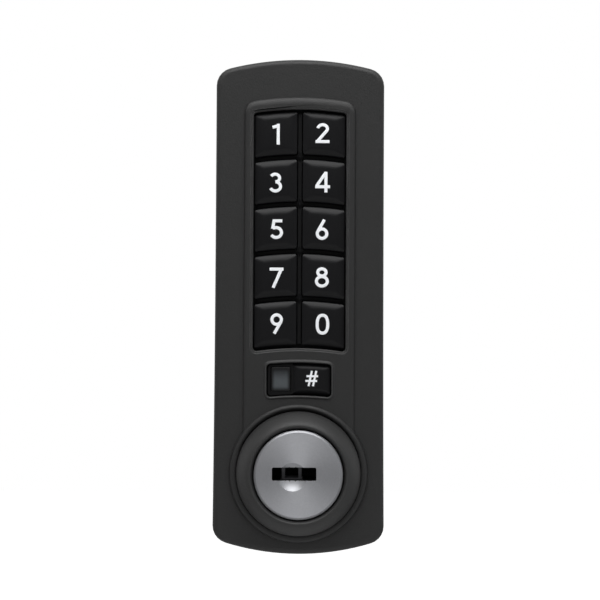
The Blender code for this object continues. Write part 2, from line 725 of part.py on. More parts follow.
def boss_shapes():
    """Posts that stand on the inside of the front wall."""
    foot = WALL_IN - EMBED
    post_end = PLATE_FRONT - 2 * GAP
    shapes = [moved(rod(CASE_BOSS_RADIUS, foot, post_end), x, 0, z) for x, z in CASE_SCREW_PLACES]
    shapes += [moved(rod(BOARD_BOSS_RADIUS, foot, BOARD_FRONT - GAP), x, 0, z) for x, z in BOARD_SCREW_PLACES]
    shapes.append(moved(rod(FIX_BOSS_RADIUS, foot, post_end, ROUND_STEPS), z=FIX_Z))
    shapes.append(moved(rod(BEARING_RADIUS, foot, BEARING_END, FINE_STEPS), z=KNOB_Z))
    return together(shapes)


def screw_holes_shape():
    """Blind holes for every screw that the case takes."""
    case_tip = PLATE_BACK - CASE_SCREW_LENGTH - GAP
    board_tip = BOARD_BACK - BOARD_SCREW_LENGTH - GAP
    fix_tip = -FIX_BOLT_GRIP - GAP
    case_hole, board_hole = CASE_SCREW_RADIUS + GAP, BOARD_SCREW_RADIUS + GAP
    shapes = [moved(rod(case_hole, case_tip, OVERRUN), x, 0, z) for x, z in CASE_SCREW_PLACES]
    shapes += [moved(rod(board_hole, board_tip, BOARD_BACK), x, 0, z) for x, z in BOARD_SCREW_PLACES]
    shapes.append(moved(rod(FIX_BOLT_RADIUS + GAP, fix_tip, OVERRUN), z=FIX_Z))
    return together(shapes)


def window_cut_shape():
    """The keypad window with its chamfered edge and the sunk lip round it."""
    return loft([
        (window_outline(-LIP_WIDTH - OVERRUN), PANEL_Y - OVERRUN),
        (window_outline(-LIP_WIDTH + LIP_DROP), PANEL_Y + LIP_DROP),
        (window_outline(-WINDOW_CHAMFER), PANEL_Y + LIP_DROP),
        (window_outline(), PANEL_Y + LIP_DROP + WINDOW_CHAMFER),
        (window_outline(), WALL_IN + OVERRUN),
    ])


def hash_cut_shape():
    rim_y = PANEL_Y - HASH_RIM_RAISE
    return loft([
        (hash_outline(-WINDOW_CHAMFER - OVERRUN), rim_y - OVERRUN),
        (hash_outline(), rim_y + WINDOW_CHAMFER),
        (hash_outline(), WALL_IN + OVERRUN),
    ])


def knob_cut_shape():
    """The round recess for the knob and the bore for its sleeve."""
    profile = [
        (0, CROWN_Y),
        (RECESS_RADIUS, CROWN_Y),
        (RECESS_RADIUS, RECESS_FLOOR),
        (BEARING_BORE, RECESS_FLOOR),
        (BEARING_BORE, BEARING_END + OVERRUN),
        (0, BEARING_END + OVERRUN),
    ]
    return moved(lathe(profile, FINE_STEPS), z=KNOB_Z)


def make_front_housing():
    housing = piece("front_housing", housing_shell_shape(), CHARCOAL)
    join(housing, together([hash_rim_shape(), collar_shape()]), "beads")
    join(housing, boss_shapes(), "bosses")
    cuts = [window_cut_shape(), hash_cut_shape(), knob_cut_shape(), screw_holes_shape()]
    cut(housing, together(cuts), "cuts")


def countersinks_shape():
    """Cone seats for the case screws in the back plate."""
    slope = CASE_SCREW_HEAD_RADIUS - CASE_SCREW_RADIUS
    profile = [
        (0, PLATE_FRONT - OVERRUN),
        (CASE_SCREW_RADIUS + GAP, PLATE_FRONT - OVERRUN),
        (CASE_SCREW_RADIUS + GAP, PLATE_BACK - slope),
        (CASE_SCREW_HEAD_RADIUS + GAP, PLATE_BACK),
        (CASE_SCREW_HEAD_RADIUS + GAP, PLATE_BACK + OVERRUN),
        (0, PLATE_BACK + OVERRUN),
    ]
    return together([moved(lathe(profile, SMALL_STEPS), x, 0, z) for x, z in CASE_SCREW_PLACES])


def barrel_hole_shape(front, back):
    return moved(loft([(double_d(GAP), front), (double_d(GAP), back)]), z=KNOB_Z)


def make_back_plate():
    outline = housing_outline(PLATE_REBATE + GAP)
    plate = piece("back_plate", loft([(outline, PLATE_FRONT), (outline, PLATE_BACK)]), ZINC)
    cut(plate, countersinks_shape(), "countersinks")
    cut(plate, barrel_hole_shape(PLATE_FRONT - OVERRUN, OVERRUN), "barrel_hole")
    bolt_hole = rod(FIX_BOLT_RADIUS + GAP, PLATE_FRONT - OVERRUN, OVERRUN)
    cut(plate, moved(bolt_hole, z=FIX_Z), "bolt_hole")


def make_door_gasket():
    outline = housing_outline(GASKET_INSET)
    gasket = piece("door_gasket", loft([(outline, GASKET_FRONT), (outline, 0)]), RUBBER)
    cut(gasket, barrel_hole_shape(GASKET_FRONT - OVERRUN, OVERRUN), "barrel_hole")
    cut(gasket, moved(rod(FIX_BOLT_RADIUS + GAP, GASKET_FRONT - OVERRUN, OVERRUN), z=FIX_Z), "bolt_hole")


# Keypad


def make_keypad_frame():
    """The insert behind the tall window: a flange, a low grid between the keys and a rib down the middle."""
    edge = FRAME_LIP
    flange = key_outline((-WINDOW_HALF - edge, WINDOW_HALF + edge, WINDOW_TOP + edge, WINDOW_BOTTOM - edge))
    inset = KEY_EDGE_GAP + GRID_INSET
    grid = key_outline((inset - WINDOW_HALF, WINDOW_HALF - inset, WINDOW_TOP - inset, WINDOW_BOTTOM + GAP))
    shape = loft([(flange, FRAME_BACK), (flange, FRAME_FRONT), (grid, FRAME_FRONT), (grid, GRID_Y)])
    frame = piece("keypad_frame", shape, BLACK_PLASTIC)
    rib_half = KEY_COLUMN_GAP / 2 * RIB_SHARE
    rib_z = (WINDOW_BOTTOM + inset, WINDOW_TOP - inset)
    join(frame, block((-rib_half, rib_half), (RIB_Y, FRAME_FRONT + EMBED), rib_z), "rib")
    openings = []
    for row in range(len(KEY_NAMES)):
        for column in (0, 1):
            outline = key_outline(key_edges(row, column), -GAP)
            openings.append(loft([(outline, GRID_Y - OVERRUN), (outline, FRAME_BACK + OVERRUN)]))
    cut(frame, together(openings), "openings")


def key_shape(edges, x, z):
    """A number key about its own centre: flange, body, four bevels and a dished top."""
    flange = key_outline(edges, -KEY_FLANGE_LIP)
    body = key_outline(edges)
    top = key_outline(edges, KEY_BEVEL)
    dish = key_outline(edges, KEY_BEVEL + KEY_DISH_WIDTH)
    return moved(
        loft([
            (flange, KEY_BACK),
            (flange, KEY_FLANGE_FRONT),
            (body, KEY_FLANGE_FRONT),
            (body, KEY_TOP_Y + KEY_BEVEL_DEPTH),
            (top, KEY_TOP_Y),
            (dish, KEY_TOP_Y + KEY_DISH),
        ]),
        -x,
        -KEY_TOP_Y,
        -z,
    )


def make_number_keys():
    for row, names in enumerate(KEY_NAMES):
        for column, name in enumerate(names):
            x, z = key_centre(row, column)
            key = piece(name, key_shape(key_edges(row, column), x, z), BLACK_PLASTIC)
            key.location = (x, KEY_TOP_Y, z)


def hash_key_edges():
    return HASH_SPLIT + GAP / 2, HASH_HALF - GAP, HASH_TOP - GAP, HASH_BOTTOM + GAP


def make_hash_key():
    left, right, top, bottom = hash_key_edges()
    lip = KEY_FLANGE_LIP + GAP
    flange = key_outline((left + GAP, right + lip, top + lip, bottom - lip))
    body = key_outline((left, right, top, bottom))
    crown = key_outline((left, right, top, bottom), HASH_BEVEL)
    shape = loft([
        (flange, KEY_BACK),
        (flange, FRAME_FRONT),
        (body, FRAME_FRONT),
        (body, KEY_TOP_Y + HASH_BEVEL_DEPTH),
        (crown, KEY_TOP_Y),
    ])
    key = piece("hash_key", moved(shape, -HASH_KEY_X, -KEY_TOP_Y, -HASH_Z), BLACK_PLASTIC)
    key.location = (HASH_KEY_X, KEY_TOP_Y, HASH_Z)


def make_status_light():
    """The black surround in the lower window, its lens, and the lamp on the board behind it."""
    left, right = GAP - HASH_HALF, HASH_SPLIT - GAP / 2
    top, bottom = HASH_TOP - GAP, HASH_BOTTOM + GAP
    lip = KEY_FLANGE_LIP + GAP
    flange = key_outline((left - lip, right - GAP, top + lip, bottom - lip))
    body = key_outline((left, right, top, bottom))
    shape = loft([(flange, FRAME_BACK), (flange, FRAME_FRONT), (body, FRAME_FRONT), (body, KEY_TOP_Y)])
    bezel = piece("status_bezel", shape, BLACK_PLASTIC)
    hole = rounded_box(LENS_WIDTH + 2 * GAP, LENS_HEIGHT + 2 * GAP, LENS_CORNER)
    hole_shape = loft([(hole, KEY_TOP_Y - OVERRUN), (hole, FRAME_BACK + OVERRUN)])
    cut(bezel, moved(hole_shape, BEZEL_X, 0, HASH_Z), "hole")
    lens_front = KEY_TOP_Y + LENS_SINK
    lens = rounded_box(LENS_WIDTH, LENS_HEIGHT, LENS_CORNER)
    lens_shape = loft([
        (lens, lens_front + LENS_THICKNESS),
        (lens, lens_front + LENS_CORNER / 2),
        (rounded_box(LENS_WIDTH, LENS_HEIGHT, LENS_CORNER, LENS_CORNER / 2), lens_front),
    ])
    piece("status_lens", moved(lens_shape, BEZEL_X, 0, HASH_Z), SMOKY)
    led_x = (BEZEL_X - LED_WIDTH / 2, BEZEL_X + LED_WIDTH / 2)
    led_z = (HASH_Z - LED_HEIGHT / 2, HASH_Z + LED_HEIGHT / 2)
    piece("status_led", block(led_x, (BOARD_FRONT - GAP - LED_THICKNESS, BOARD_FRONT - GAP), led_z), SMOKY)


def make_keypad_mat():
    """The rubber sheet on the board, with one dome behind each key and a hole over the lamp."""
    half = WINDOW_HALF + FRAME_LIP
    sheet = block((-half, half), (MAT_FRONT, MAT_BACK), (BOARD_BOTTOM, BOARD_TOP))
    mat = piece("keypad_mat", sheet, RUBBER)
    centres = [key_centre(row, column) for row in range(len(KEY_NAMES)) for column in (0, 1)]
    centres.append((HASH_KEY_X, HASH_Z))
    profile = [
        (0, DOME_FRONT),
        (DOME_TOP_RADIUS, DOME_FRONT),
        (DOME_RADIUS, MAT_FRONT),
        (DOME_RADIUS, MAT_FRONT + MAT_THICKNESS / 2),
        (0, MAT_FRONT + MAT_THICKNESS / 2),
    ]
    join(mat, together([moved(lathe(profile, DOME_STEPS), x, 0, z) for x, z in centres]), "domes")
    hole = rounded_box(LENS_WIDTH, LENS_HEIGHT, LENS_CORNER)
    lamp_hole = loft([(hole, MAT_FRONT - OVERRUN), (hole, MAT_BACK + OVERRUN)])
    cut(mat, moved(lamp_hole, BEZEL_X, 0, HASH_Z), "lamp_hole")


# Electronics


def make_circuit_board():
    shape = block((-BOARD_HALF, BOARD_HALF), (BOARD_FRONT, BOARD_BACK), (BOARD_BOTTOM, BOARD_TOP))
    board = piece("circuit_board", shape, BOARD_GREEN)
    radius, front, back = BOARD_SCREW_RADIUS + GAP, BOARD_FRONT - OVERRUN, BOARD_BACK + OVERRUN
    holes = [moved(rod(radius, front, back), x, 0, z) for x, z in BOARD_SCREW_PLACES]
    cut(board, together(holes), "screw_holes")


def make_board_parts():
    z = BOARD_BOTTOM + BOARD_PART_RISE
    front = BOARD_BACK + GAP
    half = CHIP_WIDTH / 2
    chip_x = (-BOARD_PART_X - half, -BOARD_PART_X + half)
    chip = block(chip_x, (front, front + CHIP_THICKNESS), (z - half, z + half))
    bmesh.ops.bevel(
        chip, geom=chip.edges, offset=CHIP_THICKNESS / 6, affect="EDGES", segments=1, profile=0.5, material=-1
    )
    piece("controller_chip", chip, CHIP_BLACK)
    floor = front + BUZZER_HEIGHT / 2
    profile = [
        (0, front),
        (BUZZER_RADIUS, front),
        (BUZZER_RADIUS, front + BUZZER_HEIGHT),
        (BUZZER_HOLE_RADIUS, front + BUZZER_HEIGHT),
        (BUZZER_HOLE_RADIUS, floor),
        (0, floor),
    ]
    piece("buzzer", moved(lathe(profile, SMALL_STEPS), BOARD_PART_X, 0, z), CHIP_BLACK)


def make_battery_holder():
    """A tray that is open at the back, with a rounded bed for two cells."""
    outer_x = (-HOLDER_HALF, HOLDER_HALF)
    shape = block(outer_x, (HOLDER_FRONT, HOLDER_FRONT + HOLDER_DEPTH), (HOLDER_BOTTOM, HOLDER_TOP))
    holder = piece("battery_holder", shape, BLACK_PLASTIC)
    inner_x = (HOLDER_SIDE - HOLDER_HALF, HOLDER_HALF - HOLDER_SIDE)
    inner_z = (HOLDER_BOTTOM + HOLDER_END, HOLDER_TOP - HOLDER_END)
    cut(holder, block(inner_x, (HOLDER_FLOOR, HOLDER_FRONT + HOLDER_DEPTH + OVERRUN), inner_z), "bed")


def cell_shape():
    """A cell about its own middle, standing along Z with its nub up."""
    body_end = CELL_LENGTH / 2
    round_off = CELL_RADIUS / 8
    profile = [
        (0, -body_end),
        (CELL_RADIUS - round_off, -body_end),
        (CELL_RADIUS, round_off - body_end),
        (CELL_RADIUS, body_end - round_off),
        (CELL_RADIUS - round_off, body_end),
        (CELL_NUB_RADIUS, body_end),
        (CELL_NUB_RADIUS, body_end + CELL_NUB_HEIGHT),
        (0, body_end + CELL_NUB_HEIGHT),
    ]
    return upright(lathe(profile, SMALL_STEPS + 4))


def make_cells():
    for name, x, middle, turn in (
        ("battery_1", -CELL_X, CELLS_BOTTOM + CELL_LENGTH / 2, 0),
        ("battery_2", CELL_X, CELLS_TOP - CELL_LENGTH / 2, math.pi),
    ):
        cell = piece(name, cell_shape(), CELL_WRAP)
        cell.location = (x, CELL_Y, middle)
        cell.rotation_euler = (turn, 0, 0)


def contact_shape(bumps_x, width, z_wall, side):
    """A sheet against the holder's end wall, with a pressed bump for each cell."""
    sheet_wall = z_wall + side * GAP
    sheet_face = sheet_wall + side * CONTACT_SHEET
    middle = sum(bumps_x) / len(bumps_x)
    y_span = (CELL_Y - CONTACT_HEIGHT / 2, CELL_Y + CONTACT_HEIGHT / 2)
    z_span = sorted((sheet_wall, sheet_face))
    sheet = block((middle - width / 2, middle + width / 2), y_span, z_span)
    reach = CONTACT_BUMP
    root = CONTACT_SHEET / 2
    profile = [
        (0, -root),
        (CONTACT_BUMP_RADIUS, -root),
        (CONTACT_BUMP_RADIUS, 0),
        (CONTACT_BUMP_RADIUS / 2, reach),
        (0, reach),
    ]
    bumps = []
    for x in bumps_x:
        bump = upright(lathe(profile, SMALL_STEPS))
        if side < 0:
            bmesh.ops.rotate(bump, cent=(0, 0, 0), matrix=Matrix.Rotation(math.pi, 3, "X"), verts=bump.verts)
        bumps.append(moved(bump, x, CELL_Y, sheet_face))
    return sheet, together(bumps)


def make_contacts():
    low, high = HOLDER_BOTTOM + HOLDER_END, HOLDER_TOP - HOLDER_END
    double = 2 * CELL_X + CONTACT_WIDTH
    for name, bumps_x, width, wall, side in (
        ("contact_plus", (-CELL_X,), CONTACT_WIDTH, high, -1),
        ("contact_minus", (CELL_X,), CONTACT_WIDTH, high, -1),
        ("contact_bridge", (-CELL_X, CELL_X), double, low, 1),
    ):
        sheet, bumps = contact_shape(bumps_x, width, wall, side)
        join(piece(name, sheet, NICKEL), bumps, "bumps")


def make_solenoid():
    half = SOLENOID_WIDTH / 2
    front, back = DISC_Y - SOLENOID_HALF_DEPTH, DISC_Y + SOLENOID_HALF_DEPTH
    shape = block((-half, half), (front, back), (SOLENOID_BOTTOM, SOLENOID_TOP))
    frame = piece("solenoid_frame", shape, ZINC)
    inner = half - SOLENOID_SHEET
    window_z = (SOLENOID_BOTTOM + SOLENOID_SHEET, SOLENOID_TOP - SOLENOID_SHEET)
    cut(frame, block((-inner, inner), (front - OVERRUN, back + OVERRUN), window_z), "window")
    hole = upright(rod(PLUNGER_RADIUS + GAP, -OVERRUN, SOLENOID_SHEET + OVERRUN, SMALL_STEPS))
    cut(frame, moved(hole, 0, DISC_Y, SOLENOID_BOTTOM), "plunger_hole")
    coil_length = window_z[1] - window_z[0] - 2 * GAP
    coil = upright(tube(COIL_RADIUS, PLUNGER_RADIUS + GAP, 0, coil_length))
    piece("solenoid_coil", moved(coil, 0, DISC_Y, window_z[0] + GAP), COPPER)


def make_lock_plunger():
    nose = PLUNGER_RADIUS / 4
    profile = [
        (0, 0),
        (PLUNGER_RADIUS - nose, 0),
        (PLUNGER_RADIUS, nose),
        (PLUNGER_RADIUS, PLUNGER_LENGTH),
        (0, PLUNGER_LENGTH),
    ]
    plunger = piece("lock_plunger", upright(lathe(profile, SMALL_STEPS)), ZINC)
    plunger.location = (0, DISC_Y, PLUNGER_TIP)


# Knob and cylinder, about the knob's axis


def knob_front_profile():
    """From the knob's back edge over its crown to the bore: shares of its radius and of its height."""
    radius_shares = (1.0, 0.997, 0.98, 0.95, 0.91, 0.865, 0.815, 0.768)
    height_shares = (0.0, 0.35, 0.68, 0.88, 0.97, 1.0, 0.97, 0.87)
    height = KNOB_BACK - CROWN_Y
    bore = FACE_RADIUS + GAP
    points = []
    for radius_share, height_share in zip(radius_shares, height_shares):
        points.append((KNOB_RADIUS * radius_share, KNOB_BACK - height * height_share))
    points.append((bore + GAP, FACE_FRONT))
    points.append((bore, FACE_FRONT + FACE_CHAMFER))
    return points


def make_knob_ring(axis):
    """The knob and its sleeve, one casting that passes through the case."""
    bore = FACE_RADIUS + GAP
    groove = SLEEVE_RADIUS - CLIP_DEPTH
    lip_bore = SLEEVE_BORE - SLEEVE_LIP
    profile = knob_front_profile() + [
        (bore, STEP_Y),
        (SLEEVE_BORE, STEP_Y),
        (SLEEVE_BORE, LIP_Y),
        (lip_bore, LIP_Y),
        (lip_bore, SLEEVE_END),
        (SLEEVE_RADIUS, SLEEVE_END),
        (SLEEVE_RADIUS, CLIP_GROOVE_BACK),
        (groove, CLIP_GROOVE_BACK),
        (groove, CLIP_GROOVE_FRONT),
        (SLEEVE_RADIUS, CLIP_GROOVE_FRONT),
        (SLEEVE_RADIUS, KNOB_BACK),
    ]
    piece("knob_ring", lathe(profile, FINE_STEPS, closed=True), CHARCOAL, axis)


def make_lock_disc(axis):
    """The disc on the sleeve, with a pocket for the plunger at each end of the quarter turn."""
    disc = piece("lock_disc", tube(DISC_RADIUS, BEARING_BORE, DISC_FRONT, DISC_BACK, FINE_STEPS), ZINC, axis)
    floor = DISC_RADIUS - PLUNGER_TRAVEL
    pockets = []
    for turn in (0, -QUARTER_TURN):
        pocket = upright(rod(PLUNGER_RADIUS + GAP, floor, DISC_RADIUS + OVERRUN))
        moved(pocket, 0, DISC_Y, 0)
        bmesh.ops.rotate(pocket, cent=(0, 0, 0), matrix=Matrix.Rotation(turn, 3, "Y"), verts=pocket.verts)
        pockets.append(pocket)
    cut(disc, together(pockets), "pockets")


def make_knob_clip(axis):
    """The spring clip in the sleeve's groove."""
    inner = SLEEVE_RADIUS - CLIP_DEPTH + GAP
    outer = inner + CLIP_WIDTH
    clip = piece("knob_clip", tube(outer, inner, CLIP_FRONT, CLIP_BACK), ZINC, axis)
    half = CLIP_OPENING / 2
    opening = block((-half, half), (CLIP_FRONT - OVERRUN, CLIP_BACK + OVERRUN), (-outer - OVERRUN, 0))
    cut(clip, opening, "opening")


def make_cylinder_shell(axis):
    shell = tube(SHELL_RADIUS, CORE_RADIUS + GAP, SHELL_FRONT, SHELL_BACK, FINE_STEPS)
    piece("cylinder_shell", shell, BRASS, axis)


def tumbler_spans():
    """The depth of each tumbler, front and back, from the face inwards."""
    fronts = [FACE_BACK + TUMBLER_START + index * TUMBLER_PITCH for index in range(TUMBLERS)]
    return [(front, front + TUMBLER_THICKNESS) for front in fronts]


def make_key_plug(axis):
    """The cylinder's face, core, spindle and square tail, one piece that the key turns."""
    core_back = SHELL_BACK + GAP
    profile = [
        (0, FACE_FRONT),
        (FACE_RADIUS - FACE_CHAMFER, FACE_FRONT),
        (FACE_RADIUS, FACE_FRONT + FACE_CHAMFER),
        (FACE_RADIUS, FACE_BACK),
        (CORE_RADIUS, FACE_BACK),
        (CORE_RADIUS, core_back),
        (SPINDLE_RADIUS, core_back),
        (SPINDLE_RADIUS, SPINDLE_END),
        (0, SPINDLE_END),
    ]
    plug = piece("key_plug", lathe(profile, FINE_STEPS), NICKEL, axis)
    half = SQUARE_WIDTH / 2
    join(plug, block((-half, half), (SPINDLE_END - EMBED, CAM_BACK), (-half, half)), "square")
    keyway = rounded_box(KEYWAY_WIDTH, KEYWAY_HEIGHT, KEYWAY_HEIGHT / 8)
    slot = loft([(keyway, FACE_FRONT - OVERRUN), (keyway, FACE_FRONT + KEYWAY_DEPTH)])
    cut(plug, moved(slot, KEYWAY_SHIFT, 0, KEYWAY_RISE), "keyway")
    slots = []
    reach = CORE_RADIUS + GAP
    for front, back in tumbler_spans():
        half_slot = TUMBLER_WIDTH / 2 + GAP
        x_span = (TUMBLER_SHIFT - half_slot, TUMBLER_SHIFT + half_slot)
        slots.append(block(x_span, (front - GAP, back + GAP), (-reach, reach)))
    cut(plug, together(slots), "tumbler_slots")
    ball = bmesh.new()
    bmesh.ops.create_uvsphere(ball, u_segments=ROUND_STEPS, v_segments=ROUND_STEPS, radius=SCOOP_RADIUS)
    scoop_y = FACE_FRONT + SCOOP_DEPTH - SCOOP_RADIUS
    cut(plug, moved(upright(ball), SCOOP_SHIFT, scoop_y, -SCOOP_DROP), "scoop")
    hole = rod(CAM_SCREW_RADIUS + GAP, CAM_HEAD_FRONT - CAM_SCREW_LENGTH - GAP, CAM_HEAD_FRONT)
    cut(plug, hole, "screw_hole")


def make_tumblers(axis):
    half_width, half_height = TUMBLER_WIDTH / 2, TUMBLER_HEIGHT / 2
    width_share, height_share = TUMBLER_WINDOW_SHARES
    half_window, half_opening = half_width * width_share, KEYWAY_HEIGHT / 2 * height_share
    for index, (front, back) in enumerate(tumbler_spans()):
        x_span = (TUMBLER_SHIFT - half_width, TUMBLER_SHIFT + half_width)
        plate = block(x_span, (front, back), (-half_height, half_height))
        tumbler = piece(f"tumbler_{index + 1}", plate, BRASS, axis)
        window_x = (TUMBLER_SHIFT - half_window, TUMBLER_SHIFT + half_window)
        window_z = (KEYWAY_RISE - half_opening, KEYWAY_RISE + half_opening)
        cut(tumbler, block(window_x, (front - OVERRUN, back + OVERRUN), window_z), "window")


# Behind the door


def make_barrel():
    """The threaded tube through the door: round, with two flats and a flange inside the case."""
    flange = circle(BARREL_RADIUS + BARREL_FLANGE_LIP, ROUND_STEPS)
    shape = loft([
        (flange, BARREL_FLANGE_FRONT),
        (flange, BARREL_FLANGE_BACK),
        (double_d(), BARREL_FLANGE_BACK),
        (double_d(), BARREL_END - BARREL_CHAMFER),
        (double_d(-BARREL_CHAMFER), BARREL_END),
    ])
    barrel = piece("barrel", moved(shape, z=KNOB_Z), ZINC)
    bore = rod(SPINDLE_RADIUS + GAP, BARREL_FLANGE_FRONT - OVERRUN, BARREL_END + OVERRUN, ROUND_STEPS)
    cut(barrel, moved(bore, z=KNOB_Z), "bore")


def make_barrel_nut():
    washer_outline = circle(BARREL_RADIUS + BARREL_WASHER_LIP, ROUND_STEPS)
    washer = loft([(washer_outline, WASHER_FRONT), (washer_outline, WASHER_BACK)])
    washer = piece("barrel_washer", moved(washer, z=KNOB_Z), ZINC)
    cut(washer, barrel_hole_shape(WASHER_FRONT - OVERRUN, WASHER_BACK + OVERRUN), "barrel_hole")
    across = 2 * (BARREL_RADIUS + BARREL_NUT_WALL)
    full, small = hexagon(across), hexagon(across, NUT_CHAMFER)
    shape = loft([
        (small, NUT_FRONT),
        (full, NUT_FRONT + NUT_CHAMFER),
        (full, NUT_BACK - NUT_CHAMFER),
        (small, NUT_BACK),
    ])
    nut = piece("barrel_nut", moved(shape, z=KNOB_Z), ZINC)
    bore = rod(BARREL_RADIUS + GAP, NUT_FRONT - OVERRUN, NUT_BACK + OVERRUN, ROUND_STEPS)
    cut(nut, moved(bore, z=KNOB_Z), "bore")


def make_cam(axis):
    edge = CAM_THICKNESS / 8
    shape = loft([
        (cam_outline(edge), CAM_FRONT),
        (cam_outline(), CAM_FRONT + edge),
        (cam_outline(), CAM_BACK - edge),
        (cam_outline(edge), CAM_BACK),
    ])
    cam = piece("cam", shape, ZINC, axis)
    cam.rotation_euler = (0, CAM_REST_TURN, 0)
    half = SQUARE_WIDTH / 2 + GAP
    cut(cam, block((-half, half), (CAM_FRONT - OVERRUN, CAM_BACK + OVERRUN), (-half, half)), "square_hole")
    washer = tube(CAM_WASHER_RADIUS, CAM_SCREW_RADIUS + GAP, CAM_WASHER_FRONT, CAM_WASHER_BACK)
    piece("cam_washer", washer, ZINC, axis)


def screw_profile(seat, head_radius, head_height, shank_radius, length):
    """A pan-head screw whose head is behind the seat and whose shank runs forward from it."""
    round_off = head_height / 3
    return [
        (0, seat - length),
        (shank_radius / 2, seat - length),
        (shank_radius, seat - length + shank_radius / 2),
        (shank_radius, seat),
        (head_radius, seat),
        (head_radius, seat + head_height - round_off),
        (head_radius - round_off, seat + head_height),
        (0, seat + head_height),
    ]


def make_cam_screw(axis):
    head = (CAM_SCREW_HEAD_RADIUS, CAM_SCREW_HEAD_HEIGHT)
    profile = screw_profile(CAM_HEAD_FRONT, *head, CAM_SCREW_RADIUS, CAM_SCREW_LENGTH)
    screw = piece("cam_screw", lathe(profile, ROUND_STEPS), ZINC, axis)
    head_back = CAM_HEAD_FRONT + CAM_SCREW_HEAD_HEIGHT
    socket = hexagon(2 * CAM_SCREW_SOCKET)
    cut(screw, loft([(socket, head_back - CAM_SCREW_SOCKET), (socket, head_back + OVERRUN)]), "socket")


def make_fixing_bolt():
    head = (FIX_BOLT_HEAD_RADIUS, FIX_BOLT_HEAD_HEIGHT)
    profile = screw_profile(FIX_HEAD_FRONT, *head, FIX_BOLT_RADIUS, FIX_HEAD_FRONT + FIX_BOLT_GRIP)
    bolt = piece("fixing_bolt", lathe(profile, ROUND_STEPS), ZINC)
    bolt.location = (0, 0, FIX_Z)
    head_back = FIX_HEAD_FRONT + FIX_BOLT_HEAD_HEIGHT
    socket = hexagon(2 * FIX_BOLT_SOCKET)
    cut(bolt, loft([(socket, head_back - FIX_BOLT_SOCKET), (socket, head_back + OVERRUN)]), "socket")
    washer_back = DOOR_THICKNESS + FIX_WASHER_THICKNESS
    washer_shape = tube(FIX_WASHER_RADIUS, FIX_BOLT_RADIUS + GAP, DOOR_THICKNESS, washer_back)
    washer = piece("fixing_washer", washer_shape, ZINC)
    washer.location = (0, 0, FIX_Z)


# Screws inside the case


def make_case_screws():
    tip = PLATE_BACK - CASE_SCREW_LENGTH
    slope = CASE_SCREW_HEAD_RADIUS - CASE_SCREW_RADIUS
    profile = [
        (0, tip),
        (CASE_SCREW_RADIUS / 2, tip),
        (CASE_SCREW_RADIUS, tip + CASE_SCREW_RADIUS),
        (CASE_SCREW_RADIUS, PLATE_BACK - slope),
        (CASE_SCREW_HEAD_RADIUS, PLATE_BACK),
        (0, PLATE_BACK),
    ]
    for index, (x, z) in enumerate(CASE_SCREW_PLACES):
        screw = piece(f"case_screw_{index + 1}", lathe(profile, SMALL_STEPS), ZINC)
        screw.location = (x, 0, z)


def make_board_screws():
    head = (BOARD_SCREW_HEAD_RADIUS, BOARD_SCREW_HEAD_HEIGHT)
    profile = screw_profile(BOARD_BACK + GAP, *head, BOARD_SCREW_RADIUS, BOARD_SCREW_LENGTH)
    for index, (x, z) in enumerate(BOARD_SCREW_PLACES):
        screw = piece(f"board_screw_{index + 1}", lathe(profile, SMALL_STEPS), ZINC)
        screw.location = (x, 0, z)


# The lock, from its case to its cam
make_front_housing()
make_back_plate()
make_door_gasket()
make_keypad_frame()
make_number_keys()
make_hash_key()
make_status_light()
make_keypad_mat()
make_circuit_board()
make_board_parts()
make_battery_holder()
make_cells()
make_contacts()
make_solenoid()
make_lock_plunger()
make_barrel()
make_barrel_nut()
make_fixing_bolt()
make_case_screws()
make_board_screws()
knob_axis = axis_empty("knob_axis", KNOB_Z)
make_knob_ring(knob_axis)
make_lock_disc(knob_axis)
make_knob_clip(knob_axis)
make_cylinder_shell(knob_axis)
key_axis = axis_empty("key_axis", 0, knob_axis)
make_key_plug(key_axis)
make_tumblers(key_axis)
make_cam(key_axis)
make_cam_screw(key_axis)
print(f"Case {2 * HOUSING_HALF:.4f} wide, {HOUSING_HEIGHT:.4f} high, {-FACE_Y:.4f} deep")
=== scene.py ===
# %% [markdown]
# # An electronic cabinet lock
# This lesson dresses a keypad lock for a cabinet door. The solids of the lock come ready made, each
# piece at its real size and in its real place. What they lack is what the eye looks for: soft key
# caps, printed digits, screw threads, textured paint and turned metal. The solids could be painted
# and left as they are, but their round pieces have few facets, so nearly all are refined or made
# again here.

# %% Load the lock's solids
import json
import math

import bmesh
import bpy
from mathutils import Matrix, Vector


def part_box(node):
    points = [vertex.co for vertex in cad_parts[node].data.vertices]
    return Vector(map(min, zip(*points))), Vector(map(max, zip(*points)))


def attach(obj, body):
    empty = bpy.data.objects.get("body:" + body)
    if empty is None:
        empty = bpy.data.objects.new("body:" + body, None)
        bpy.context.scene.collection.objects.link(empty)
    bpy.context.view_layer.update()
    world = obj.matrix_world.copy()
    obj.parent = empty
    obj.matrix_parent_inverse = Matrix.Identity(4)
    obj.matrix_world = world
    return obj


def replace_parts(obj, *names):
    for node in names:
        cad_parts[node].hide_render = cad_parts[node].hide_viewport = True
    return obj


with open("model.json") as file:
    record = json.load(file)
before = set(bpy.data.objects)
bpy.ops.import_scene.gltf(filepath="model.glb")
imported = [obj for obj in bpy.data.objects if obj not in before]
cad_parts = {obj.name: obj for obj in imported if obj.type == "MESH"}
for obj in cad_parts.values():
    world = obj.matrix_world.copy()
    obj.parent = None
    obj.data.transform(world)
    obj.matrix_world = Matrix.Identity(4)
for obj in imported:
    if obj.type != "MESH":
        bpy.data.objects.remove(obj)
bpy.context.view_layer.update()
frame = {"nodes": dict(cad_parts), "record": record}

solids = frame["nodes"]
scene = bpy.context.scene


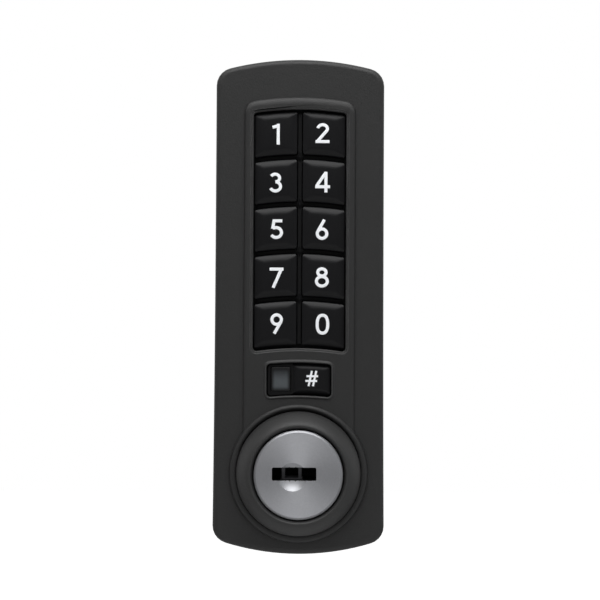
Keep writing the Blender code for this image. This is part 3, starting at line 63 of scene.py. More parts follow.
# %% [markdown]
# ## Places that the whole lesson uses
# The door's face is the plane y = 0, and the lock looks along -Y with +Z up. Every piece measures
# itself from the solid that it dresses, so the knob's axis is read from the knob. The top and
# bottom of the case, its windows and its keys all follow one arch.

# %% The knob's axis and the arch
knob_low, knob_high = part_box("knob_ring")
KNOB_Z = (knob_low.z + knob_high.z) / 2
ARCH_RADIUS = 0.073


def off_axis(place):
    """How far a point lies from the knob's axis."""
    return math.hypot(place.x, place.z - KNOB_Z)


def arch_drop(x):
    """How far the arch has fallen at a distance from the middle line."""
    return ARCH_RADIUS - math.sqrt(ARCH_RADIUS**2 - x**2)


print(f"knob axis at z = {KNOB_Z:.4f}; 20 mm out the arch falls by {arch_drop(0.02) * 1000:.1f} mm")

# %% [markdown]
# ## Colours
# Shaders count light in linear numbers, while a colour picker shows screen numbers from 0 to 255. A
# small function turns one into the other, so that a colour can be written as the eye picks it.


# %% A colour from screen values
def screen(red, green, blue):
    """The linear colour of three screen values."""
    linear = []
    for value in (red, green, blue):
        share = value / 255
        linear.append(((share + 0.055) / 1.055) ** 2.4 if share > 0.04 else share / 12.92)
    return linear + [1.0]


print("mid grey is", [round(value, 3) for value in screen(128, 128, 128)])

# %% [markdown]
# ## Tools for materials
# A material is a tree of nodes. Writing each node and link out is long, so a few helpers do the
# joining: one adds a node with its settings and its inputs, some do sums, and one starts a node
# group. A group holds an effect that several finishes share, such as fine grain, and each finish
# gives it its own values.


# %% Helpers for nodes
def feed(node, inputs):
    """Puts values or links on a node's inputs."""
    for name, value in inputs.items():
        if isinstance(value, bpy.types.NodeSocket):
            node.id_data.links.new(value, node.inputs[name])
        else:
            node.inputs[name].default_value = value


def add_node(tree, kind, inputs=None, **settings):
    """A node with its settings and its inputs."""
    node = tree.nodes.new("ShaderNode" + kind)
    for name, value in settings.items():
        setattr(node, name, value)
    feed(node, inputs or {})
    return node


def own_place(tree):
    """A point's place in its object's own coordinates."""
    return add_node(tree, "TexCoord").outputs["Object"]


def noise(place, scale, detail):
    """Soft noise at a place."""
    inputs = {"Vector": place, "Scale": scale, "Detail": detail}
    return add_node(place.id_data, "TexNoise", inputs).outputs[0]


print("helpers for nodes are ready")


# %% Helpers for sums
def calculate(operation, first, second=0.0, clamp=False):
    """The result of one sum, in its values' own tree."""
    tree = (first if isinstance(first, bpy.types.NodeSocket) else second).id_data
    inputs = {0: first, 1: second}
    return add_node(tree, "Math", inputs, operation=operation, use_clamp=clamp).outputs[0]


def plus(first, second, clamp=False):
    """One value plus another."""
    return calculate("ADD", first, second, clamp)


def minus(first, second, clamp=False):
    """One value less another."""
    return calculate("SUBTRACT", first, second, clamp)


def times(first, second, clamp=False):
    """One value times another."""
    return calculate("MULTIPLY", first, second, clamp)


print("helpers for sums are ready")

# %% A new node group
GREY = (0.5, 0.5, 0.5, 1.0)


def new_group(name, inputs, outputs):
    """A node group, the sockets that bring its values in and the node that takes them out."""
    group = bpy.data.node_groups.new(name, "ShaderNodeTree")
    for way, sockets in (("INPUT", inputs), ("OUTPUT", outputs)):
        for title, value in sockets.items():
            kind = "NodeSocketFloat" if isinstance(value, float) else "NodeSocketColor"
            socket = group.interface.new_socket(title, in_out=way, socket_type=kind)
            socket.default_value = value
    start, end = group.nodes.new("NodeGroupInput"), group.nodes.new("NodeGroupOutput")
    return group, start.outputs, end


print("node groups can be made")

# %% [markdown]
# ## Grain
# Paint, moulded plastic and plated steel are all a little rough. A powder coat has soft bumps a few
# tenths of a millimetre wide, and a mould leaves a finer, sharper grain. One group gives both:
# noise for the fine grain, cells for the soft bumps and a slow cloud that keeps large areas from
# looking even. It puts out a colour, a roughness and a height, and the scale sets the size of the
# grain.

# %% The grain group
grain, taken, given = new_group(
    "surface_grain",
    {"Colour": GREY, "Roughness": 0.5, "Scale": 2500.0, "Tone Change": 0.2,
     "Roughness Change": 0.1},
    {"Colour": GREY, "Roughness": 0.5, "Height": 0.0},
)
SOFT_BUMPS, SLOW_CLOUD, FINE_SHARE = 0.55, 0.02, 0.6
place, scale = own_place(grain), taken["Scale"]
fine = noise(place, scale, 3.0)
bumps = {"Vector": place, "Scale": times(scale, SOFT_BUMPS)}
cells = add_node(grain, "TexVoronoi", bumps, feature="SMOOTH_F1")
cloud = noise(place, times(scale, SLOW_CLOUD), 2.0)
height = plus(fine, cells.outputs["Distance"])
uneven = plus(times(fine, FINE_SHARE), times(cloud, 1 - FINE_SHARE))
offset = minus(uneven, 0.5)
tone = plus(times(offset, taken["Tone Change"]), 1.0)
shaded = add_node(grain, "HueSaturation", {"Value": tone, "Color": taken["Colour"]})
rough_by = times(offset, taken["Roughness Change"])
rough = plus(rough_by, taken["Roughness"], clamp=True)
feed(given, {"Colour": shaded.outputs[0], "Roughness": rough, "Height": height})
print("group", grain.name, "has", len(grain.nodes), "nodes")

# %% [markdown]
# ## Worn edges and painted corner shade
# Hands and keys polish a lock at its edges first, so an edge is a little lighter than the flat
# beside it. The group finds edges by comparing the true normal with one that the Bevel node has
# rounded off: where the two part, there is an edge. Noise breaks the line up, because no edge wears
# evenly. Inside corners are darkened instead, as painted shade where little light reaches them. The
# Ambient Occlusion node finds them by how much of the open air a point can see, and it also keeps
# the wear out of them.

# %% The edge group
wear, taken, given = new_group(
    "edge_wear",
    {"Colour": GREY, "Edge Colour": GREY, "Strength": 1.0, "Grime": 0.0},
    {"Colour": GREY},
)
EDGE_WIDTH, EDGE_GAIN = 0.0003, 6.0
PATCH_SCALE, PATCH_GAIN = 350.0, 1.6
CORNER_REACH, CORNER_GAIN = 0.0016, 4.0
rounded = add_node(wear, "Bevel", {"Radius": EDGE_WIDTH}, samples=4).outputs[0]
normal = add_node(wear, "NewGeometry").outputs["Normal"]
facing = add_node(wear, "VectorMath", {0: rounded, 1: normal}, operation="DOT_PRODUCT")
edge = times(minus(1.0, facing.outputs["Value"]), EDGE_GAIN, clamp=True)
patches = noise(own_place(wear), PATCH_SCALE, 4.0)
broken = times(edge, times(patches, PATCH_GAIN), clamp=True)
open_air = add_node(wear, "AmbientOcclusion", {"Distance": CORNER_REACH}, samples=8)
closed_in = minus(1.0, open_air.outputs["AO"], clamp=True)
in_reach = minus(1.0, times(closed_in, CORNER_GAIN), clamp=True)
mask = times(times(broken, in_reach), taken["Strength"], clamp=True)
colours = {"Fac": mask, "Color1": taken["Colour"], "Color2": taken["Edge Colour"]}
worn = add_node(wear, "MixRGB", colours).outputs[0]
# Corners are darkened here with painted shade, where the open air is hidden.
unshaded_share = minus(1.0, times(closed_in, taken["Grime"]), clamp=True)
corner_shaded = add_node(wear, "HueSaturation", {"Value": unshaded_share, "Color": worn})
feed(given, {"Colour": corner_shaded.outputs[0]})
print("group", wear.name, "has", len(wear.nodes), "nodes")

# %% [markdown]
# ## Turned metal
# The face of a key cylinder is cut on a lathe, and the tool leaves fine rings about the axis. A
# ring pattern can be painted on with a texture, but it is simpler to feed each point's distance
# from the axis to a noise that varies fast along it and slowly round the axis. The group works on
# the object's own coordinates, so the rings turn with it.

# %% The ring group
RING_LINES = 9000.0
rings, taken, given = new_group("turned_rings", {"Axis Z": 0.0}, {"Height": 0.0})
spot = add_node(rings, "SeparateXYZ", {0: own_place(rings)}).outputs
rise = minus(spot["Z"], taken["Axis Z"])
squares = plus(times(spot["X"], spot["X"]), times(rise, rise))
lines = times(calculate("SQRT", squares), RING_LINES)
turn = calculate("ARCTAN2", rise, spot["X"])
along = add_node(rings, "CombineXYZ", {0: lines, 1: times(turn, 2.0)})
feed(given, {"Height": noise(along.outputs[0], 1.0, 2.0)})
print("group", rings.name, "has", len(rings.nodes), "nodes")

# %% [markdown]
# ## Painted and moulded finishes
# Most of the lock is charcoal powder coat over a zinc casting, with black moulded keys. Both take
# the grain group for their colour, roughness and bumps. The paint and the plastics differ in only a
# few numbers, so one function builds them all, with the worn edge on top. After the name come the
# colour, the roughness, the scale of the grain, how far it changes the tone, how high it stands,
# and for a worn finish the colour of its edges and how much they are worn.


# %% A grained finish
def new_material(name):
    """A material with its node tree and its shader."""
    material = bpy.data.materials.new(name)
    material.use_nodes = True
    return material, material.node_tree, material.node_tree.nodes["Principled BSDF"]


def finish(name, colour, roughness, scale, tone, bump, edge=None, wear_by=0.0, metallic=0.0,
           rough_by=0.12, shine=0.5, grime=0.0):
    """A grained material, with worn edges and painted corner shade if it has an edge colour."""
    material, tree, shader = new_material(name)
    start = screen(*colour)
    if edge:
        inputs = {"Colour": start, "Edge Colour": screen(*edge), "Strength": wear_by}
        inputs["Grime"] = grime
        start = add_node(tree, "Group", inputs, node_tree=wear).outputs["Colour"]
    inputs = {"Colour": start, "Roughness": roughness, "Scale": scale, "Tone Change": tone}
    inputs["Roughness Change"] = rough_by
    grained = add_node(tree, "Group", inputs, node_tree=grain).outputs
    lift = add_node(tree, "Bump", {"Height": grained["Height"], "Distance": bump})
    feed(shader, {"Metallic": metallic, "Specular IOR Level": shine, "Normal": lift.outputs[0],
                  "Base Color": grained["Colour"], "Roughness": grained["Roughness"]})
    return material


print("finishes can be made")

# %% The finishes
# The charcoal coat darkens its corners and creases with painted shade.
charcoal = finish("charcoal_powder_coat", (34, 34, 34), 0.52, 3200.0, 0.3, 0.000022,
                  (110, 110, 110), 0.7, shine=0.32, grime=0.8)
knob_paint = finish("hand_polished_paint", (33, 33, 33), 0.56, 3200.0, 0.3, 0.000016,
                    (66, 66, 66), 0.5, shine=0.45)
key_black = finish("satin_key_plastic", (10, 10, 12), 0.4, 5200.0, 0.25, 0.000006,
                   (30, 30, 34), 0.4, shine=0.18)
black_moulding = finish("black_moulding", (9, 9, 10), 0.55, 4200.0, 0.25, 0.00001,
                        (20, 20, 22), 0.3, shine=0.12)
holder_black = finish("holder_plastic", (30, 30, 32), 0.55, 4200.0, 0.2, 0.00001)
digit_white = finish("white_ink", (238, 240, 243), 0.45, 6000.0, 0.08, 0.000004)
rubber_grey = finish("door_rubber", (46, 46, 47), 0.85, 1500.0, 0.35, 0.00006)
board_green = finish("board_lacquer", (18, 84, 48), 0.35, 900.0, 0.3, 0.00001)
chip_black = finish("moulded_chip", (28, 28, 30), 0.6, 6000.0, 0.3, 0.00001)
sleeve_blue = finish("cell_sleeve", (36, 60, 112), 0.35, 700.0, 0.12, 0.000004)
copper_wire = finish("lacquered_copper", (178, 96, 48), 0.32, 2600.0, 0.3, 0.00003, metallic=1.0)
brass_cut = finish("cut_brass", (190, 156, 92), 0.34, 2200.0, 0.2, 0.00001, (226, 196, 130), 0.6,
                   metallic=1.0)
zinc_bright = finish("bright_zinc", (186, 189, 194), 0.36, 800.0, 0.16, 0.000008,
                     (222, 224, 228), 0.5, metallic=1.0, rough_by=0.3)
lamp_clear = finish("lamp_body", (190, 192, 196), 0.2, 1500.0, 0.1, 0.000004)
# The tumblers are grey metal, darkened with painted shade since they sit deep in the keyway.
oiled_wafer = finish("oiled_wafer", (88, 88, 91), 0.45, 2200.0, 0.4, 0.00001, metallic=1.0)
# Nearly black painted shade for the walls of the deep keyway.
keyway_dark = finish("keyway_dark", (16, 16, 16), 0.6, 2200.0, 0.4, 0.00001)
milled_nickel = finish("milled_nickel", (158, 159, 162), 0.52, 1500.0, 0.25, 0.000008, metallic=1.0)
rubbed_nickel = finish("rubbed_nickel", (146, 147, 150), 0.4, 1500.0, 0.2, 0.000004, metallic=1.0)
print(len(bpy.data.materials), "materials so far")

# %% [markdown]
# ## The smoky window
# The signal light shines through a smoky plate. Its colour holds painted light and shade: it is
# darkest at its rim, as painted shade where the surround shades it, and a little lighter in the
# middle, as a painted glow where the pale lamp lies behind it. See-through plastic would show the
# lamp and the board sharply, but a real smoky plate blurs them, so a soft patch of grey in the
# plate's colour is nearer to the truth. The patch fades with the distance to the plate's middle
# along both ways, and it is painted darker towards the top, as shade from the surround above.

# %% The smoky finish
# The rim colour is painted shade, and the middle colour is a painted glow of the lamp behind.
LENS_SHADED_RIM, LENS_LIT_MIDDLE = (9, 9, 10), (72, 76, 79)
FADE_START, FADE_END, SHADE_DEPTH, SHADED = 0.29, 0.53, 0.6, 0.2
lens_low, lens_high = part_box("status_lens")
lens_smoke = finish("smoky_lens", LENS_LIT_MIDDLE, 0.25, 900.0, 0.2, 0.000004, shine=0.3)
tree = lens_smoke.node_tree
spot = add_node(tree, "SeparateXYZ", {0: own_place(tree)}).outputs
lens_size = lens_high - lens_low
shade_end = lens_high.z - lens_size.z * SHADE_DEPTH
inputs = {0: spot["Z"], 1: lens_high.z, 2: shade_end, 3: SHADED, 4: 1.0}
patch = add_node(tree, "MapRange", inputs, interpolation_type="SMOOTHSTEP").outputs[0]
for way, middle, size in (("X", (lens_low.x + lens_high.x) / 2, lens_size.x),
                          ("Z", (lens_low.z + lens_high.z) / 2, lens_size.z)):
    away = calculate("ABSOLUTE", minus(spot[way], middle))
    inputs = {0: away, 1: size * FADE_END, 2: size * FADE_START}
    share = add_node(tree, "MapRange", inputs, interpolation_type="SMOOTHSTEP").outputs[0]
    patch = times(patch, share)
# The mix paints shade at the rim and the top, and the lamp's glow in the middle.
colours = {"Fac": patch, "Color1": screen(*LENS_SHADED_RIM), "Color2": screen(*LENS_LIT_MIDDLE)}
grained = next(node for node in tree.nodes if node.type == "GROUP")
feed(grained, {"Colour": add_node(tree, "MixRGB", colours).outputs[0]})
fade = lens_size.x * (FADE_END - FADE_START) * 1000
print("at its sides the lens fades over", round(fade, 2), "mm")

# %% [markdown]
# ## Satin nickel
# A turned face shines in two fans that meet at the middle, because each fine ring throws light
# across its own direction. A texture of fans would stay where it was painted. The shader's
# anisotropy gives the real effect, if it knows which way the light is spread: at each point that is
# along the arm from the axis to the point.

# %% The nickel finish
FAN_SHARE, RING_CONTRAST, RING_HEIGHT = 0.72, 0.16, 0.000002
nickel, tree, shader = new_material("satin_nickel")
turned = add_node(tree, "Group", {"Axis Z": KNOB_Z}, node_tree=rings).outputs["Height"]
ends = {0: own_place(tree), 1: (0, 0, KNOB_Z)}
arm = add_node(tree, "VectorMath", ends, operation="SUBTRACT").outputs[0]
world_way = add_node(tree, "VectorTransform", {0: arm}, vector_type="VECTOR",
                     convert_from="OBJECT", convert_to="WORLD")
inputs = {"Colour": screen(174, 175, 179), "Roughness": 0.36, "Scale": 2200.0,
          "Tone Change": 0.3, "Roughness Change": 0.15}
metal = add_node(tree, "Group", inputs, node_tree=grain).outputs
ring_tone = plus(times(turned, RING_CONTRAST), 1 - RING_CONTRAST / 2)
toned = add_node(tree, "HueSaturation", {"Value": ring_tone, "Color": metal["Colour"]})
lift = add_node(tree, "Bump", {"Height": turned, "Distance": RING_HEIGHT})
feed(shader, {"Metallic": 1.0, "Anisotropic": FAN_SHARE, "Tangent": world_way.outputs[0],
              "Base Color": toned.outputs[0], "Roughness": metal["Roughness"],
              "Normal": lift.outputs[0]})
print("nickel shines across its rings")

# %% [markdown]
# ## Dressing the solids
# Each solid names the kind of material that it is made of, so a table from kind to finish dresses
# them all. Most are replaced or refined in the next cells, but a few inside stay as they are and
# need their finish for the day when the case is opened.

# %% Give every solid its finish
finishes = dict(
    charcoal_paint=charcoal, black_plastic=key_black, smoky_lens=lens_smoke, lamp_clear=lamp_clear,
    grey_rubber=rubber_grey, board_green=board_green, chip_black=chip_black, satin_nickel=nickel,
    zinc_plate=zinc_bright, brass=brass_cut, copper_winding=copper_wire, cell_wrap=sleeve_blue,
)
record = frame["record"]
slot_of = {entry["node"]: entry["material_slot"] for entry in record["subparts"]}
body_of = {}
for body, nodes in record["behaviour"]["bodies"].items():
    body_of.update(dict.fromkeys(nodes, body))
finish_of = {node: finishes[slot] for node, slot in slot_of.items()}
finish_of.update(keypad_frame=black_moulding, status_bezel=black_moulding,
                 battery_holder=holder_black)
# The tumblers get grey metal darkened with painted shade.
finish_of.update({f"tumbler_{number}": oiled_wafer for number in (1, 2, 3, 4)})


def dress(item, material):
    """Puts one material on all of a piece."""
    item.data.materials.clear()
    item.data.materials.append(material)


for node, item in solids.items():
    dress(item, finish_of[node])
print(len(solids), "solids dressed")

# %% [markdown]
# ## Helpers for new pieces
# A new piece starts as a bmesh and ends as an object that stands in for a solid and rides on the
# same body, so that it moves with it. A shared function does this, with smooth shading across
# shallow edges and a thin bevel along the sharp ones, because an edge with no radius catches no
# light and looks cut from paper.


# %% Finish a new piece
def new_object(name, bm, material):
    """An object in the scene, from a bmesh."""
    mesh = bpy.data.meshes.new(name)
    bm.to_mesh(mesh)
    bm.free()
    item = bpy.data.objects.new(name, mesh)
    scene.collection.objects.link(item)
    dress(item, material)
    return item


def stand_in(name, bm, node, material, angle, bevel=0.0):
    """Makes a piece from a bmesh, on a solid's body."""
    item = new_object(name, bm, material)
    item.data.shade_smooth()
    item.data.set_sharp_from_angle(angle=math.radians(angle))
    if bevel:
        rounding = item.modifiers.new("edge_radius", "BEVEL")
        rounding.width = bevel
        rounding.segments = 2
        rounding.limit_method = "ANGLE"
        rounding.angle_limit = math.radians(angle)
        rounding.harden_normals = True
        flat = item.modifiers.new("flat_faces", "WEIGHTED_NORMAL")
        flat.keep_sharp = True
    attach(item, body_of[node])
    return item


MERGE_REACH = 0.000002


def copy_of(node, whole_faces=True):
    """A bmesh copy of a solid, with its loose triangles joined."""
    bm = bmesh.new()
    bm.from_mesh(solids[node].data)
    bmesh.ops.remove_doubles(bm, verts=bm.verts, dist=MERGE_REACH)
    if whole_faces:
        flat = math.radians(1)
        bmesh.ops.dissolve_limit(bm, angle_limit=flat, verts=bm.verts, edges=bm.edges)
    return bm


print("helpers for pieces are ready")

# %% [markdown]
# ## The case and the small hardware
# The case, the insert, the signal light's surround, the cam, the washers and the nut already have
# the right shape. They are copied, their triangles are joined into whole faces, and a bevel of a
# tenth of a millimetre or two is added. That is the radius that die casting and stamping leave on a
# real edge. The case keeps its triangles, since its front is one face with three holes. The upper
# edge of its raised panel has a softer round than the sides have, so its points are drawn down. The
# knob hangs a little low in its recess, so its gap is a dark crescent at the top and nearly shut at
# the bottom: the recess is drawn in there. The lens grows to a press fit and comes forward until it
# is nearly flush, because a real one leaves no slit for dust.

# %% Spread the panel's upper edge
PANEL_FOOT, PANEL_RAISE, TOP_SPREAD = -0.024, 0.0008, 0.0006
CORNER_START, CORNER_HEIGHT = 0.05, 0.002
WINDOW_EDGE_TOP, WINDOW_EDGE_SIDE = 0.05075, 0.01255


def spread_top_edge(bm):
    """Lets the panel's rounded upper edge run further down towards the window."""
    for vert in bm.verts:
        level = vert.co.z + arch_drop(min(abs(vert.co.x), ARCH_RADIUS))
        forward = (PANEL_FOOT - vert.co.y) / PANEL_RAISE
        outside = level > WINDOW_EDGE_TOP or abs(vert.co.x) > WINDOW_EDGE_SIDE
        if outside and 0.01 < forward < 1.01:
            near_top = min(max((level - CORNER_START) / CORNER_HEIGHT, 0), 1)
            vert.co.z -= TOP_SPREAD * forward**2 * near_top


print("the panel's upper edge runs", round(TOP_SPREAD * 1000, 1), "mm further down")

# %% Draw the recess in below the knob
RECESS_EDGE, RECESS_LIP, RECESS_FLOOR = 0.016, 0.0166, -0.0232
LOW_DRAW, LOW_LIFT = 0.00036, 0.0002


def draw_recess_in(bm):
    """Narrows the knob's recess from its sides down, and lifts its lip there."""
    for vert in bm.verts:
        rise, out = vert.co.z - KNOB_Z, off_axis(vert.co)
        if RECESS_EDGE < out < RECESS_LIP and vert.co.y < RECESS_FLOOR:
            low_part = min(1 - rise / out, 1.0)
            share = 1 - LOW_DRAW / out * low_part
            vert.co.x *= share
            vert.co.z = KNOB_Z + rise * share
            if out < (RECESS_EDGE + RECESS_LIP) / 2 and vert.co.y < PANEL_FOOT:
                vert.co.y -= LOW_LIFT * low_part


print("the recess is drawn in by", round(LOW_DRAW * 1000, 2), "mm at its bottom")

# %% Refine the solids that show
LENS_GROWTH, LENS_FORWARD = (1.11, 1, 1.09), (0, -0.00025, 0)
refined = (
    ("front_housing", "case_skin", 40, 0.00012),
    ("keypad_frame", "keypad_insert", 30, 0.00012),
    ("status_bezel", "light_surround", 30, 0.00015),
    ("status_lens", "light_lens", 30, 0.0002),
    ("door_gasket", "gasket_sheet", 30, 0.0002),
    ("barrel_nut", "nut_body", 25, 0.0002),
    ("barrel_washer", "washer_body", 25, 0.0002),
    ("fixing_washer", "small_washer_body", 25, 0.00015),
    ("cam", "cam_plate", 25, 0.0002),
    ("cam_washer", "cam_washer_body", 25, 0.00015),
    ("cam_screw", "cam_screw_body", 25, 0.0001),
    ("key_plug", "plug_body", 28, 0.00008),
)
for node, name, angle, bevel in refined:
    copy = copy_of(node, whole_faces=node != "front_housing")
    if node == "front_housing":
        spread_top_edge(copy)
        draw_recess_in(copy)
    if node == "status_lens":
        to_middle = Matrix.Translation(-(lens_low + lens_high) / 2)
        bmesh.ops.scale(copy, vec=LENS_GROWTH, space=to_middle, verts=copy.verts)
        bmesh.ops.translate(copy, vec=LENS_FORWARD, verts=copy.verts)
    item = stand_in(name, copy, node, finish_of[node], angle, bevel)
    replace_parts(item, node)
    print(name, len(item.data.polygons), "faces")

# %% [markdown]
# ## The pieces inside
# Whoever opens the case finds two cells, a board, a solenoid and the parts that turn. Their shapes
# are right too, but a cell is drawn with few facets, and its end has a rounded shoulder where the
# sleeve is shrunk over it. So each gets smooth sides and the edge that its making leaves: broad on
# a shrunk sleeve, fine on stamped or turned metal. The sleeve leaves a cell's two ends and its
# raised pole bare, so they get a second material.

# %% Refine the solids inside
inner_edges = dict(
    battery_1=0.0005, battery_2=0.0005, solenoid_coil=0.0003, solenoid_frame=0.00015,
    buzzer=0.0004, lock_plunger=0.0002, lock_disc=0.0001, cylinder_shell=0.0001,
    knob_clip=0.00008, controller_chip=0.00012, battery_holder=0.00015, keypad_mat=0.0002,
    back_plate=0.0002,
)
for kind in ("case", "board"):
    inner_edges.update({f"{kind}_screw_{number}": 0.0001 for number in (1, 2, 3, 4)})
for node, bevel in inner_edges.items():
    material = finish_of[node]
    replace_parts(stand_in(f"{node}_body", copy_of(node), node, material, 32, bevel), node)
print(len(inner_edges), "pieces inside have soft edges")

# %% Bare the ends of the cells
POLE_REACH, END_FACING = 0.0025, 0.9
for node in ("battery_1", "battery_2"):
    cell, (low, high) = bpy.data.objects[f"{node}_body"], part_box(node)
    cell.data.materials.append(zinc_bright)
    for face in cell.data.polygons:
        from_middle = face.center - (low + high) / 2
        near_pole = math.hypot(from_middle.x, from_middle.y) < POLE_REACH
        if near_pole or abs(face.normal.z) > END_FACING:
            face.material_index = 1
    print(node, sum(face.material_index for face in cell.data.polygons), "bare faces")

# %% [markdown]
# ## The cylinder's face
# The keyway is a deep slot, and its walls are painted nearly black as shade, since little light
# gets in. The plug keeps its nickel outside, and the faces whose middle lies in the slot, no deeper
# than its end, get that painted shade as a second material. The scoop that guides the key in is
# milled, and the face's outer edge is chamfered, so neither has fans: the scoop gets a plain satin
# finish and the chamfer a brighter one, since every turn of the knob rubs it. The face also comes
# forward a little and its rim goes out to a close running fit, as a real plug fills its bore.

# %% Bring the plug's face forward
FACE_FORWARD, FACE_START, FACE_EDGE, FACE_RIM = 0.0005, 0.0104, 0.01066, 0.0112
RIM_BACK, SCOOP_DEPTH, HAIR = 0.0003, 0.0015, 0.0001
plug = bpy.data.objects["plug_body"]
plug_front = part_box("key_plug")[0].y - FACE_FORWARD
for vert in plug.data.vertices:
    reach = out = off_axis(vert.co)
    behind = vert.co.y - plug_front - FACE_FORWARD
    if out > FACE_START:
        reach = FACE_EDGE if behind < HAIR else FACE_RIM
    vert.co.x *= reach / out
    vert.co.z = KNOB_Z + (vert.co.z - KNOB_Z) * reach / out
    if behind < SCOOP_DEPTH + HAIR:
        vert.co.y = plug_front + RIM_BACK if reach == FACE_RIM else vert.co.y - FACE_FORWARD
print("the face lies at y =", round(plug_front, 4))

# %% Paint shade into the keyway and plain the scoop
SCOOP_RADIUS, SLOT_DEPTH, CHAMFER_DEPTH, FRONT_SKIN = 0.0054, 0.0186, 0.0006, 0.00002
slot_middle, slot_half = Vector((-0.00105, 0, KNOB_Z + 0.00025)), Vector((0.0057, 0, 0.00175))
scoop_middle = Vector((-0.00145, 0, KNOB_Z - 0.0005))
# The keyway's faces get painted shade, and the scoop and the chamfer get their nickel finishes.
for material in (keyway_dark, milled_nickel, rubbed_nickel):
    plug.data.materials.append(material)
for face in plug.data.polygons:
    behind = face.center.y - plug_front
    from_slot, from_scoop = face.center - slot_middle, face.center - scoop_middle
    in_slot = abs(from_slot.x) < slot_half.x and abs(from_slot.z) < slot_half.z
    if behind <= FRONT_SKIN:
        continue
    if in_slot and behind < SLOT_DEPTH:
        face.material_index = 1
    elif behind < SCOOP_DEPTH and math.hypot(from_scoop.x, from_scoop.z) < SCOOP_RADIUS:
        face.material_index = 2
    elif behind < CHAMFER_DEPTH and off_axis(face.center) > FACE_EDGE:
        face.material_index = 3
counts = [sum(face.material_index == index for face in plug.data.polygons) for index in (1, 2, 3)]
print("faces in the keyway, the scoop and the chamfer:", counts)

# %% [markdown]
# ## Key caps
# A moulded key has four sloping sides round a face that is slightly crowned, and every edge between
# them is soft. A bevelled box would do from far away, but its edges would be hard. Each cap starts
# as a flat grid whose lines crowd together near the rim. The grid is laid on the key's arched
# outline and its corners are drawn in to a small radius. Then every point is pressed back by how
# near it lies to the rim, so the slopes meet in mitres at the corners, as in the real key. The rim
# is extruded backwards for the sides, and the back is closed. The lowest two keys reach a little
# over the insert with a shallow skirt, which stays clear of it at full travel.


# %% How far back a key's face lies
def slope_depth(share, depth):
    """How far a slope has dropped back at a share of its width, with a soft inner edge."""
    return depth * (1 - min(max(share, 0.0), 1.0)) ** 1.6


def face_depth(x, z, rim, shape):
    """The depth of a key's face at a point."""
    left, right, top, bottom = rim
    front, side, end, side_depth, end_depth, crown = shape
    level = z + arch_drop(x)
    slope = max(slope_depth(min(x - left, right - x) / side, side_depth),
                slope_depth(min(top - level, level - bottom) / end, end_depth))
    half = (top - bottom) / 2
    off_middle = math.hypot(x - (left + right) / 2, level - (top + bottom) / 2) / half
    return front + slope + crown * min(off_middle, 1.0) ** 2


print("halfway up a 0.9 mm slope the face lies", round(slope_depth(0.5, 0.9), 2), "mm back")

# %% Crowd the lines and round the corners
GRID_STEPS, RIM_LINES = 30, 8


def crowded(share, length, band):
    """A place along a side, with the first and last lines close together near the rim."""
    index = round((share + 0.5) * GRID_STEPS)
    if index <= RIM_LINES:
        return band * index / RIM_LINES
    if index >= GRID_STEPS - RIM_LINES:
        return length - band * (GRID_STEPS - index) / RIM_LINES
    return band + (length - 2 * band) * (index - RIM_LINES) / (GRID_STEPS - 2 * RIM_LINES)


def drawn_in(x, z, width, height, corner):
    """Moves a point of a rectangle so that its square corners become round."""
    over_x, over_z = corner - min(x, width - x), corner - min(z, height - z)
    if over_x <= 0 or over_z <= 0:
        return x, z
    shrink = max(over_x, over_z) / math.hypot(over_x, over_z)
    new_x, new_z = corner - over_x * shrink, corner - over_z * shrink
    return new_x if x < width / 2 else width - new_x, new_z if z < height / 2 else height - new_z


corner = [round(value, 2) for value in drawn_in(0, 0, 10, 10, 0.5)]
print("a corner point of a 10 mm square moves to", corner)

# %% Make one cap
BAND_SHARE, SKIRT_DEPTH, SKIRT_STEP = 1.15, 0.0013, 0.00005


def extruded_edge(bm):
    """Extrudes the open edge of a shell and returns the new points."""
    edges = [edge for edge in bm.edges if edge.is_boundary]
    made = bmesh.ops.extrude_edge_only(bm, edges=edges)["geom"]
    return [item for item in made if isinstance(item, bmesh.types.BMVert)]


def close_holes(bm):
    """Closes every open edge of a shell with a face."""
    edges = [edge for edge in bm.edges if edge.is_boundary]
    bmesh.ops.holes_fill(bm, edges=edges, sides=0)


def key_cap(name, node, rim, shape, corner, back, skirt=0.0):
    """A key cap with sloping sides, arched ends and, over the insert, a skirt."""
    left, right, top, bottom = rim
    width, height = right - left, top - bottom
    bm = bmesh.new()
    bmesh.ops.create_grid(bm, x_segments=GRID_STEPS, y_segments=GRID_STEPS, size=0.5)
    for vert in bm.verts:
        x = crowded(vert.co.x, width, shape[1] * BAND_SHARE)
        level = crowded(vert.co.y, height, shape[2] * BAND_SHARE)
        x, level = drawn_in(x, level, width, height, corner)
        x += left
        z = bottom + level - arch_drop(x)
        vert.co = (x, face_depth(x, z, rim, shape), z)
    if skirt:
        for vert in extruded_edge(bm):
            vert.co.y = shape[0] + SKIRT_DEPTH
        for vert in extruded_edge(bm):
            level = vert.co.z + arch_drop(vert.co.x) - bottom
            raised = bottom + skirt + level * (height - skirt - SKIRT_STEP) / height
            vert.co.x += math.copysign(SKIRT_STEP, (left + right) / 2 - vert.co.x)
            vert.co.z = raised - arch_drop(vert.co.x)
    for vert in extruded_edge(bm):
        vert.co.y = back
    close_holes(bm)
    bmesh.ops.recalc_face_normals(bm, faces=bm.faces)
    item = stand_in(name, bm, node, key_black, 60)
    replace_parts(item, node)


print("caps can be made")

